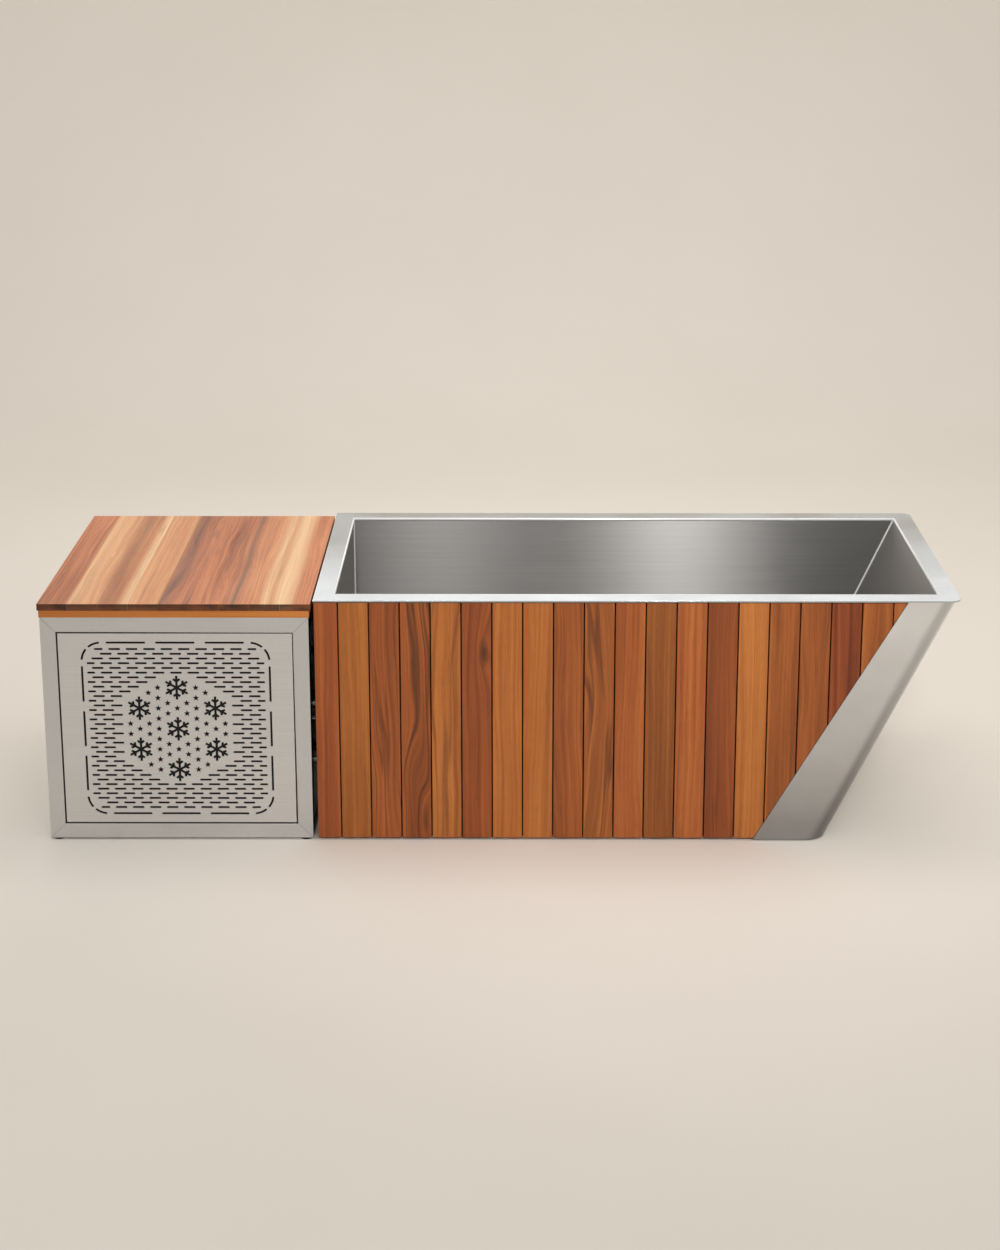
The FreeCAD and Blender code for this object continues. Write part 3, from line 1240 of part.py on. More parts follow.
# Hoses over the necks: suction, pump to filter, filter to evaporator and evaporator to return
hose_inside = mm.fitting_tail + mm.thread_clearance
hose_outside = hose_inside + mm.hose_wall
tail_cover = mm.tail_reach / 2
hose_routes = (
    ((volute_x[1] + mm.hole_clearance, *pump_place), (tail_end + tail_cover, *pump_place)),
    ((pump_x, suction_y, mm.suction_z + mm.volute_radius + mm.hole_clearance),
     (pump_x, suction_y, filter_inlet_z), (pump_x, filter_front - mm.hole_clearance, filter_inlet_z)),
    ((barrel_right + mm.hole_clearance, barrel_place[1], cross_z),
     (filter_left - mm.hole_clearance, barrel_place[1], cross_z)),
    ((barrel_place[0], barrel_front - mm.hole_clearance, return_z),
     (barrel_place[0], return_y, return_z), (tail_end + tail_cover, return_y, return_z)),
)
keep(feature("water_hoses", Part.Compound([
    bent_tube(route, mm.hose_bend, hose_outside, hose_inside) for route in hose_routes])))

# Drain: a ball valve on the drain fitting, its lever and a bent pipe through the back panel
drain_place = fittings["drain"]
valve_x = (tail_end + mm.socket_depth - mm.valve_length, tail_end + mm.socket_depth)
valve_middle = (valve_x[0] + valve_x[1]) / 2
valve_top = drain_place[1] + mm.valve_radius
stem_low = valve_top - mm.stem_depth
stem_place = (valve_middle, drain_place[0])
keep(cut("drain_valve", rod("valve_body", "X", valve_x, mm.valve_radius, drain_place), [
    rod("valve_bore", "X", valve_x, mm.pipe_bore, drain_place),
    rod("tail_socket", "X", (tail_end, valve_x[1]), mm.fitting_tail + mm.thread_clearance, drain_place),
    rod("pipe_socket", "X", (valve_x[0], valve_x[0] + mm.socket_depth), mm.pipe_radius + mm.thread_clearance,
        drain_place),
    rod("stem_hole", "Z", (stem_low, valve_top), mm.stem_radius + mm.running_gap, stem_place),
]))
lever_low = valve_top + mm.stem_height
keep(fuse("drain_handle", [
    rod("stem", "Z", (stem_low + mm.moving_gap, lever_low), mm.stem_radius, stem_place),
    box("lever", (valve_middle - mm.handle_width / 2, valve_middle + mm.handle_length),
        (drain_place[0] - mm.handle_width / 2, drain_place[0] + mm.handle_width / 2),
        (lever_low, lever_low + mm.handle_thick)),
]))
drain_route = ((valve_x[0] + mm.socket_depth, *drain_place), (outlet_x, *drain_place),
               (outlet_x, inner_back + mm.outlet_reach, drain_place[1]))
spigot_start = FreeCAD.Vector(float(outlet_x), float(inner_back + mm.hole_clearance), float(drain_place[1]))
spigot_length = float(mm.outlet_reach - mm.hole_clearance)
spigot, spigot_bore = (Part.makeCylinder(float(radius), spigot_length, spigot_start, FreeCAD.Vector(0, 1, 0))
                       for radius in (mm.spigot_radius, mm.pipe_bore))
bent_pipe = bent_tube(drain_route, mm.pipe_bend, mm.pipe_radius, mm.pipe_bore)
keep(feature("drain_pipe", bent_pipe.fuse(spigot.cut(spigot_bore)).removeSplitter()))

# Controller: a box on the shroud with a display and three push buttons on top
control_y = (shroud_y[1] - mm.control_depth, shroud_y[1])
control_z = (condenser_z[1], condenser_z[1] + mm.control_height)
control_middle_y = (control_y[0] + control_y[1]) / 2
wall_under = control_z[1] - mm.control_wall
display_x = (control_x[0] + mm.button_flange, control_x[0] + mm.button_flange + mm.display_length)
display_y = (control_middle_y - mm.display_depth / 2, control_middle_y + mm.display_depth / 2)
display_z = (control_z[1] - mm.display_thick, control_z[1])
button_names = ("button_power", "button_up", "button_down")
button_places = [(control_x[1] - mm.button_pitch * (index + 1), control_middle_y)
                 for index in range(len(button_names))]
control_hollow = [(low + mm.control_wall, high - mm.control_wall) for low, high in (control_x, control_y)]
keep(cut("controller_box", box("control_block", control_x, control_y, control_z), [
    box("control_space", *control_hollow, (control_z[0], wall_under)),
    box("display_seat", display_x, display_y, display_z),
    *[rod("button_hole", "Z", (wall_under, control_z[1]), mm.button_radius + mm.moving_gap, place)
      for place in button_places],
]))
keep(box("display_window", display_x, display_y, display_z))
flange_top = wall_under - mm.moving_gap
for name, place in zip(button_names, button_places):
    keep(fuse(name, [
        rod(name + "_cap", "Z", (flange_top, control_z[1] + mm.button_rise), mm.button_radius, place),
        rod(name + "_flange", "Z", (flange_top - mm.button_flange_thick, flange_top),
            mm.button_flange, place),
    ]))

# Power inlet: a flanged socket with three flat pins, let into the back panel
inlet_x = (inlet_centre[0] - mm.inlet_length / 2, inlet_centre[0] + mm.inlet_length / 2)
inlet_z = (inlet_centre[1] - mm.inlet_height / 2, inlet_centre[1] + mm.inlet_height / 2)
flange_y = (inner_back, inner_back + mm.inlet_flange / 2)
recess_floor = inner_back - mm.inlet_depth / 2
inlet_solid = fuse("inlet_solid", [
    box("inlet_flange", (inlet_x[0] - mm.inlet_flange, inlet_x[1] + mm.inlet_flange), flange_y,
        (inlet_z[0] - mm.inlet_flange, inlet_z[1] + mm.inlet_flange)),
    box("inlet_body", inlet_x, (inner_back - mm.inlet_depth, inner_back), inlet_z),
])
inlet_recess = box("inlet_recess", (inlet_x[0] + mm.inlet_flange, inlet_x[1] - mm.inlet_flange),
                   (recess_floor, flange_y[1]), (inlet_z[0] + mm.inlet_flange, inlet_z[1] - mm.inlet_flange))
pin_z_span = (inlet_centre[1] - mm.inlet_pin * 2, inlet_centre[1] + mm.inlet_pin * 2)
inlet_pins = []
for offset in (-mm.inlet_length / 5, as_size(0), mm.inlet_length / 5):
    pin_left = inlet_centre[0] + offset - mm.inlet_pin / 2
    pin_x_span = (pin_left, pin_left + mm.inlet_pin)
    inlet_pins.append(box("inlet_pin", pin_x_span, (recess_floor, inner_back), pin_z_span))
keep(fuse("power_inlet", [cut("inlet_socket", inlet_solid, [inlet_recess]), *inlet_pins]))

# Every object must have come out whole before any shape is written
doc.recompute()
failed = [item.Label for item in doc.Objects if {"Invalid", "Error"} & set(item.State)]
failed += [item.Label for item in sub_parts if item.Shape.isNull() or not item.Shape.isValid()]
if failed:
    raise RuntimeError(f"pieces that did not build: {failed}")
os.makedirs("parts", exist_ok=True)
for item in sub_parts:
    item.Shape.exportStep(f"parts/{item.Label}.step")
print(f"{len(sub_parts)} sub-parts written")
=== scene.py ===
import math

import bpy
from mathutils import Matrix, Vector


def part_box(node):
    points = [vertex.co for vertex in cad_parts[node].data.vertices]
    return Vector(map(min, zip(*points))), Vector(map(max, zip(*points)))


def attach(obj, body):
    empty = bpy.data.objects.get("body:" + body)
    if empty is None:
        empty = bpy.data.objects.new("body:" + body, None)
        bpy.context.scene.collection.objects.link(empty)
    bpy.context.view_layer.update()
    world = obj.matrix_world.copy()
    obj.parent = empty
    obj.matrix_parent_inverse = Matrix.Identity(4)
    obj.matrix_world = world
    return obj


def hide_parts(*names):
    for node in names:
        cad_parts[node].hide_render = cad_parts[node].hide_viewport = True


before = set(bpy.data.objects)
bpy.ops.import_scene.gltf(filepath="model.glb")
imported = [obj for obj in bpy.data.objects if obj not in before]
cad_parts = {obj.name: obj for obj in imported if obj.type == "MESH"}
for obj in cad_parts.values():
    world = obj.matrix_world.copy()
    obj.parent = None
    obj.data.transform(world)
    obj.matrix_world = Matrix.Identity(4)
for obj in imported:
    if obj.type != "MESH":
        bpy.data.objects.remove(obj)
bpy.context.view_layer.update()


# Tub base: a ladder of square steel tube, welded and painted black, that carries the basin.
# It stands on eight round rubber pads, glued under the tubes, so the slats hang clear of the floor.
class NodeSet:
    """The nodes of one finish or pattern, whose inputs take numbers or the outputs of other nodes."""

    family = ""

    def node(self, kind, inputs=None, **settings):
        item = self.tree.nodes.new(self.family + kind)
        for key, value in settings.items():
            setattr(item, key, value)
        for key, value in (inputs or {}).items():
            self.feed(item.inputs[key], value)
        return item

    def feed(self, socket, value):
        if isinstance(value, bpy.types.NodeSocket):
            self.tree.links.new(value, socket)
        else:
            socket.default_value = value


class Finish(NodeSet):
    """A surface finish: one material with the nodes that give it grain, brushing or wear."""

    family = "ShaderNode"

    def __init__(self, name, **settings):
        self.material = bpy.data.materials.new(name)
        self.material.use_nodes = True
        self.tree = self.material.node_tree
        self.surface = self.tree.nodes["Principled BSDF"]
        self.place = self.node("TexCoord").outputs["Object"]
        for socket, value in settings.items():
            self.feed(self.surface.inputs[socket.replace("_", " ")], value)

    def sum(self, operation, first, second=0.0):
        """One step of arithmetic."""
        return self.node("Math", {0: first, 1: second}, operation=operation).outputs[0]

    def stretched(self, scale, place=None):
        """The place on the piece, stretched so that a pattern runs long one way."""
        return self.node("Mapping", {"Vector": place or self.place, "Scale": scale}).outputs["Vector"]

    def speckle(self, scale, detail=2.0, place=None):
        """Soft noise from 0 to 1 whose marks are one over scale long, in metres, on each axis."""
        return self.node("TexNoise", {"Vector": self.stretched(scale, place), "Scale": 1.0,
                                      "Detail": detail}).outputs["Fac"]

    def ranged(self, value, low, high, start=0.0, end=1.0):
        """A value from start to end as the input goes from low to high, held at both ends."""
        return self.node("MapRange", {"Value": value, "From Min": low, "From Max": high,
                                      "To Min": start, "To Max": end}).outputs["Result"]

    def ramp(self, value, *stops, steps=False):
        """Colours along a value: each stop is a position and a colour, blended or in steps."""
        item = self.node("ValToRGB", {"Fac": value})
        item.color_ramp.interpolation = "CONSTANT" if steps else "LINEAR"
        points = item.color_ramp.elements
        while len(points) < len(stops):
            points.new(0.5)
        for point, (position, colour) in zip(points, stops):
            point.position = position
            point.color = (*colour, 1.0)
        return item.outputs["Color"]

    def axis(self, way, place=None):
        """One coordinate, X, Y or Z, of the place on the piece."""
        return self.node("SeparateXYZ", {0: place or self.place}).outputs[way]

    def facing(self, way):
        """How far the surface faces along X, Y or Z, from -1 to 1."""
        return self.axis(way, self.node("TexCoord").outputs["Normal"])

    def mixed(self, amount, first, second, blend="MIX"):
        item = self.node("Mix", {0: amount}, data_type="RGBA", blend_type=blend)
        for socket, colour in ((item.inputs[6], first), (item.inputs[7], second)):
            self.feed(socket, (*colour, 1.0) if isinstance(colour, tuple) else colour)
        return item.outputs[2]

    def show(self, colour=None, roughness=None, height=None, depth=0.0002, strength=0.4):
        """Put the colour, roughness and relief on the surface."""
        if colour is not None:
            self.feed(self.surface.inputs["Base Color"], colour)
        if roughness is not None:
            self.feed(self.surface.inputs["Roughness"], roughness)
        if height is not None:
            bump = self.node("Bump", {"Height": height, "Distance": depth, "Strength": strength})
            self.feed(self.surface.inputs["Normal"], bump.outputs["Normal"])
        return self.material


def tone(red, green, blue):
    """A paint chip's 0 to 255 numbers as linear light."""
    return tuple((c / 255 / 12.92) if c <= 10 else ((c / 255 + 0.055) / 1.055) ** 2.4
                 for c in (red, green, blue))


def dress(material, *names, ease=0.0):
    """Give CAD nodes their finish, and ease their sharp edges where ease is a width in metres."""
    for name in names:
        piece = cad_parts[name]
        for place in piece.material_slots:
            place.material = material
        if ease:
            piece.modifiers.new("join", "WELD").merge_threshold = 0.00002
            bevel = piece.modifiers.new("eased_edges", "BEVEL")
            bevel.width = ease
            bevel.segments = 2
            bevel.limit_method = "ANGLE"
            bevel.angle_limit = math.radians(40)


def moulded(name, colour, roughness=0.5, grain=900.0, worn=0.25):
    """Moulded rubber, plastic or paint: a fine pebble, faint blotches and uneven gloss."""
    skin = Finish(name)
    pebble = skin.speckle((grain, grain, grain))
    blotch = skin.speckle((9.0, 9.0, 9.0), 4.0)
    pale = tuple(min(1.0, c * (1 + worn) + 0.01 * worn) for c in colour)
    gloss = skin.ranged(skin.sum("ADD", pebble, blotch), 0.6, 1.4, roughness - 0.1, roughness + 0.12)
    return skin.show(skin.mixed(skin.ranged(blotch, 0.35, 0.7), colour, pale), gloss, pebble, 0.0001, 0.25)


black_paint = moulded("black_paint", tone(26, 26, 27), 0.42, 1200.0)
black_rubber = moulded("black_rubber", tone(24, 24, 24), 0.72, 500.0, 0.5)
dress(black_paint, "base_frame", ease=0.0012)
dress(black_rubber, "tub_feet", ease=0.002)


# Basin: a trough folded from one brushed stainless sheet, with an upright left end and a sloped right end
# welded in. The weld beads are ground and show as bright lines in the corners, partly by a painted highlight.
# The brushing runs along its length, so that light drags down across it as a soft upright streak.
def brushed_steel(name, line_way, shade=0.62, roughness=0.34, drag=0.0, smudge=0.09, tint=(1.0, 0.995, 0.985),
                  marks=1.0, metal=1.0, painted_foot_shade=1.0, painted_wall_light=1.0, painted_slope_light=1.0, painted_fold_shade=1.0,
                  gap_shade_x=None):
    """Brushed stainless: fine lines along line_way, cloudy handling marks and an even satin gloss.

    Painted shade can darken the sheet towards its foot and on a fold, and can blacken its side by the tub.
    Painted light can make the walls that don't face the front paler.
    """
    steel = Finish(name, Metallic=metal, Anisotropic=drag)
    line_long, line_fine = 7.0, 1500.0
    band_long, band_fine = 1.6, 300.0
    lines = steel.speckle(tuple(line_long if way else line_fine for way in line_way), 3.0)
    bands = steel.speckle(tuple(band_long if way else band_fine for way in line_way), 2.0)
    cloud = steel.speckle((5.0, 5.0, 5.0), 5.0)
    level = steel.sum("ADD", steel.sum("MULTIPLY", lines, 0.45), steel.sum("MULTIPLY", bands, 0.55))
    dark = tuple(shade * c * (1 - smudge) for c in tint)
    pale = tuple(min(1.0, shade * c * (1 + smudge)) for c in tint)
    colour = steel.mixed(steel.ranged(level, 0.35, 0.65), dark, pale)
    handled = tuple(shade * 0.9 * c for c in tint)
    colour = steel.mixed(steel.ranged(cloud, 0.38, 0.72, 0.0, 0.5 * marks), colour, handled)
    # Painted shade: the colour darkens towards the bottom, from 0.6 m down to 0.05 m.
    if painted_foot_shade < 1.0:
        fall = steel.ranged(steel.axis("Z"), 0.05, 0.6, 1.0, 0.0)
        colour = steel.mixed(fall, colour, (painted_foot_shade,) * 3, "MULTIPLY")
    # Painted shade: the colour darkens where the sheet turns on its rounded fold.
    if painted_fold_shade < 1.0:
        turned = steel.facing("X")
        past_fold = steel.ranged(turned, 0.6, 0.85, 1.0, 0.0)
        fold = steel.sum("MULTIPLY", steel.ranged(turned, 0.05, 0.35), past_fold)
        colour = steel.mixed(fold, colour, (painted_fold_shade,) * 3, "MULTIPLY")
    # Painted light: the walls that don't face the front are made paler, the sloped end by its own share.
    if painted_wall_light > 1.0:
        off_back = steel.ranged(steel.facing("Y"), -0.8, -0.5)
        on_slope = steel.ranged(steel.facing("X"), -0.5, -0.8)
        painted_light_level = steel.mixed(on_slope, (painted_wall_light,) * 3, (painted_slope_light,) * 3)
        colour = steel.mixed(off_back, colour, painted_light_level, "MULTIPLY")
    clean, marked = roughness - 0.04 * marks, roughness + 0.05 * marks
    gloss = steel.sum("ADD", steel.ranged(cloud, 0.3, 0.7, clean, marked),
                      steel.ranged(lines, 0.3, 0.7, -0.03, 0.03))
    if drag:
        across = steel.node("VectorMath", {0: steel.node("TexCoord").outputs["Normal"], 1: (1.0, 0.0, 0.02)},
                            operation="CROSS_PRODUCT").outputs[0]
        steel.feed(steel.surface.inputs["Tangent"], across)
    # Painted shade: black on the side that faces the tub.
    if gap_shade_x is not None:
        colour = paint_gap_shade(steel, colour, gap_shade_x)
    return steel.show(colour, gloss, lines, 0.00006, 0.22)


lengthwise = (True, False, False)
# Painted shade and light: the back wall, which faces the front, keeps a dark tone that stands in for dark
# reflections. The other walls are 2.6 times paler, and the sloped end 1.7 times.
basin_steel = brushed_steel("basin_steel", lengthwise, 0.27, 0.35, 1.0, 0.06, (1.0, 0.98, 0.955),
                            painted_wall_light=2.6, painted_slope_light=1.7, marks=0.3)
dress(basin_steel, "tub_basin")
# Painted highlight, in part: this ground steel is near-white and only a third metal, so the beads and the
# rolled edge read as bright lines under any light.
ground_steel_painted_highlight = brushed_steel("ground_steel_painted_highlight", lengthwise, 0.94, 0.3, smudge=0.04, tint=(0.98, 0.99, 1.0),
                             metal=0.35)
rim_low, rim_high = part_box("tub_rim")
rim_wide = 0.052
mouth = [(rim_low.x + rim_wide, rim_low.y + rim_wide), (rim_high.x - rim_wide, rim_high.y - rim_wide)]
basin_floor = 0.070
end_slope = 0.45
fold_round = 0.012


class Pattern(NodeSet):
    """A set of geometry nodes that repeats or sweeps a shape, with named sizes as its inputs."""

    def __init__(self, name):
        self.tree = bpy.data.node_groups.new(name, "GeometryNodeTree")
        self.tree.is_modifier = True
        self.tree.interface.new_socket("Geometry", in_out="OUTPUT", socket_type="NodeSocketGeometry")
        self.source = self.tree.nodes.new("NodeGroupInput")
        self.sizes = {}

    def size(self, name, value, kind="NodeSocketFloat"):
        socket = self.tree.interface.new_socket(name, in_out="INPUT", socket_type=kind)
        self.sizes[socket.identifier] = value
        return next(out for out in self.source.outputs if out.identifier == socket.identifier)

    def sum(self, operation, first, second=0.0):
        return self.node("ShaderNodeMath", {0: first, 1: second}, operation=operation).outputs[0]

    def point(self, x=0.0, y=0.0, z=0.0):
        return self.node("ShaderNodeCombineXYZ", {0: x, 1: y, 2: z}).outputs[0]

    def block(self, x, y, z):
        return self.node("GeometryNodeMeshCube", {"Size": self.point(x, y, z)}).outputs["Mesh"]

    def moved(self, geometry, place, turn=(0.0, 0.0, 0.0)):
        return self.node("GeometryNodeTransform", {"Geometry": geometry, "Translation": place,
                                                   "Rotation": turn}).outputs["Geometry"]

    def row(self, count, start, step):
        return self.node("GeometryNodeMeshLine", {"Count": count, "Start Location": start, "Offset": step},
                         mode="OFFSET").outputs["Mesh"]

    def repeated(self, points, shape):
        return self.node("GeometryNodeInstanceOnPoints", {"Points": points, "Instance": shape}).outputs[0]

    def path(self, places, bend=0.0, closed=False):
        """A line from place to place, with its corners rounded by bend."""
        index = self.node("GeometryNodeInputIndex").outputs[0]
        picked = self.node("GeometryNodeIndexSwitch", {"Index": index}, data_type="VECTOR")
        while len(picked.index_switch_items) < len(places):
            picked.index_switch_items.new()
        for number, place in enumerate(places):
            self.feed(picked.inputs[number + 1], place)
        dots = self.row(len(places), (0.0, 0.0, 0.0), (0.01, 0.0, 0.0))
        placed = self.node("GeometryNodeSetPosition", {"Geometry": dots, "Position": picked.outputs[0]})
        line = self.node("GeometryNodeMeshToCurve", {"Mesh": placed.outputs[0]}).outputs["Curve"]
        if closed:
            line = self.node("GeometryNodeSetSplineCyclic", {"Geometry": line, "Cyclic": True}).outputs[0]
        if bend:
            line = self.node("GeometryNodeFilletCurve", {"Curve": line, "Radius": bend, "Count": 6,
                                                         "Limit Radius": True}, mode="POLY").outputs["Curve"]
        return line

    def circle(self, radius, sides):
        ring = self.node("GeometryNodeCurvePrimitiveCircle", {"Resolution": sides, "Radius": radius})
        return ring.outputs["Curve"]

    def swept(self, line, radius, sides=10):
        """A round bar along a line."""
        bar = self.node("GeometryNodeCurveToMesh", {"Curve": line, "Fill Caps": True,
                                                    "Profile Curve": self.circle(radius, sides)})
        return self.node("GeometryNodeSetShadeSmooth", {"Geometry": bar.outputs["Mesh"]}).outputs[0]

    def rod(self, radius, length, sides):
        """A round bar along Z."""
        return self.node("GeometryNodeMeshCylinder", {"Vertices": sides, "Radius": radius, "Depth": length},
                         fill_type="NGON").outputs["Mesh"]

    def hoop(self, radius, wide, thick, sides=40):
        """A flat band bent into a ring round Z."""
        band = self.node("GeometryNodeCurvePrimitiveQuadrilateral", {"Width": thick, "Height": wide})
        bent = self.node("GeometryNodeCurveToMesh", {"Curve": self.circle(radius, sides),
                                                     "Profile Curve": band.outputs["Curve"]})
        return bent.outputs["Mesh"]

    def ringed(self, count, radius, shape):
        """Copies of a shape set round Z, each turned to face outwards."""
        index = self.node("GeometryNodeInputIndex").outputs[0]
        angle = self.sum("DIVIDE", self.sum("MULTIPLY", index, math.tau), count)
        points = self.node("GeometryNodeMeshCircle", {"Vertices": count, "Radius": radius}).outputs["Mesh"]
        copies = self.node("GeometryNodeInstanceOnPoints", {"Points": points, "Instance": shape,
                                                            "Rotation": self.point(0.0, 0.0, angle)})
        return copies.outputs["Instances"]

    def joined(self, *parts):
        item = self.node("GeometryNodeJoinGeometry")
        for part in parts:
            self.tree.links.new(part, item.inputs[0])
        return item.outputs[0]

    def real(self, geometry):
        return self.node("GeometryNodeRealizeInstances", {"Geometry": geometry}).outputs["Geometry"]

    def made(self, name, geometry, material):
        """Run the nodes once and hand back the piece as a plain mesh."""
        finished = self.node("GeometryNodeSetMaterial", {"Geometry": self.real(geometry),
                                                         "Material": material}).outputs["Geometry"]
        sink = self.tree.nodes.new("NodeGroupOutput")
        self.tree.links.new(finished, sink.inputs[0])
        blank = bpy.data.objects.new(name + "_blank", bpy.data.meshes.new(name + "_blank"))
        bpy.context.scene.collection.objects.link(blank)
        step = blank.modifiers.new("pattern", "NODES")
        step.node_group = self.tree
        for identifier, value in self.sizes.items():
            step[identifier] = value
        ready = blank.evaluated_get(bpy.context.evaluated_depsgraph_get())
        mesh = bpy.data.meshes.new_from_object(ready)
        blank.modifiers.remove(step)
        bpy.data.objects.remove(blank)
        mesh.name = name
        piece = bpy.data.objects.new(name, mesh)
        bpy.context.scene.collection.objects.link(piece)
        return piece


def fitted(piece, body, slot, *nodes):
    """Set a finished piece on its body in place of its plain solids."""
    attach(piece, body)
    if nodes:
        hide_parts(*nodes)
    return piece


def corner_weld(name, top_x, floor_x):
    """A bead down one corner, across the floor and up the other corner."""
    rule = Pattern(name + "_pattern")
    bead = rule.size("Bead radius", 0.0038)
    places = [(top_x, mouth[0][1], rim_low.z), (floor_x, mouth[0][1], basin_floor),
              (floor_x, mouth[1][1], basin_floor), (top_x, mouth[1][1], rim_low.z)]
    return rule.made(name, rule.swept(rule.path(places, fold_round), bead, 8), ground_steel_painted_highlight)


floor_end = mouth[1][0] - end_slope * (rim_high.z - basin_floor)
fitted(corner_weld("upright_end_weld", mouth[0][0], mouth[0][0]), "tub", "stainless_steel")
fitted(corner_weld("sloped_end_weld", mouth[1][0] - end_slope * (rim_high.z - rim_low.z), floor_end), "tub",
       "stainless_steel")


# Rim: a flat stainless plate on top of the basin, brushed lengthwise, with rounded corners at the sloped end.
# Its inner edge is rolled over the mouth of the basin and ground. It shows as a white line, partly as it
# catches the light and partly by a painted highlight in its near-white, part-metal finish.
rim_steel = brushed_steel("rim_steel", lengthwise, 0.6, 0.15, smudge=0.05, tint=(0.925, 0.98, 1.035))
dress(rim_steel, "tub_rim", ease=0.001)
roll = Pattern("rolled_edge_pattern")
roll_radius = 0.0045
roll_size = roll.size("Radius", roll_radius)
roll_proud = 0.0008
roll_z = rim_high.z - roll_radius + roll_proud
roll_line = roll.path([(x, y, roll_z) for x, y in ((mouth[0][0], mouth[0][1]), (mouth[1][0], mouth[0][1]),
                                                   (mouth[1][0], mouth[1][1]), (mouth[0][0], mouth[1][1]))],
                      closed=True)
rolled_edge = roll.made("rim_rolled_edge", roll.swept(roll_line, roll_size, 12), ground_steel_painted_highlight)
fitted(rolled_edge, "tub", "stainless_steel")


# Sloped end: one sheet of brushed stainless wrapped round the end of the tub, folded at two big round
# corners. Its two side bands cover the ends of the slats.
# The band has painted shade: darker towards its foot and on its rounded folds.
end_steel = brushed_steel("end_steel", (True, False, True), 0.86, 0.34, painted_foot_shade=0.4, painted_fold_shade=0.66)
dress(end_steel, "end_shell")


# Walls: timber posts and level battens screwed to the base, with rigid foam boards between the posts.
# They are covered by the slats, and show only as darkness in the open joints.
def plain_timber(name, dark, pale, along):
    """Sawn softwood: straight dark and pale lines along the board."""
    timber = Finish(name)
    lines = timber.speckle(tuple(2.5 if way else 260.0 for way in along), 3.0)
    wide = timber.speckle(tuple(0.8 if way else 40.0 for way in along), 2.0)
    level = timber.sum("ADD", timber.sum("MULTIPLY", lines, 0.5), timber.sum("MULTIPLY", wide, 0.5))
    colour = timber.ramp(level, (0.3, dark), (0.7, pale))
    return timber.show(colour, timber.ranged(lines, 0.2, 0.8, 0.5, 0.7), lines, 0.0003, 0.4)


upright = (False, False, True)
stained_post = plain_timber("stained_post", tone(34, 24, 18), tone(58, 42, 32), upright)
stained_batten = plain_timber("stained_batten", tone(30, 21, 16), tone(52, 38, 29), lengthwise)
dark_foam = moulded("dark_foam", tone(30, 30, 32), 0.85, 260.0, 0.6)
dress(stained_post, "wall_posts")
dress(stained_batten, "slat_battens")
dress(dark_foam, "wall_insulation", "floor_insulation")


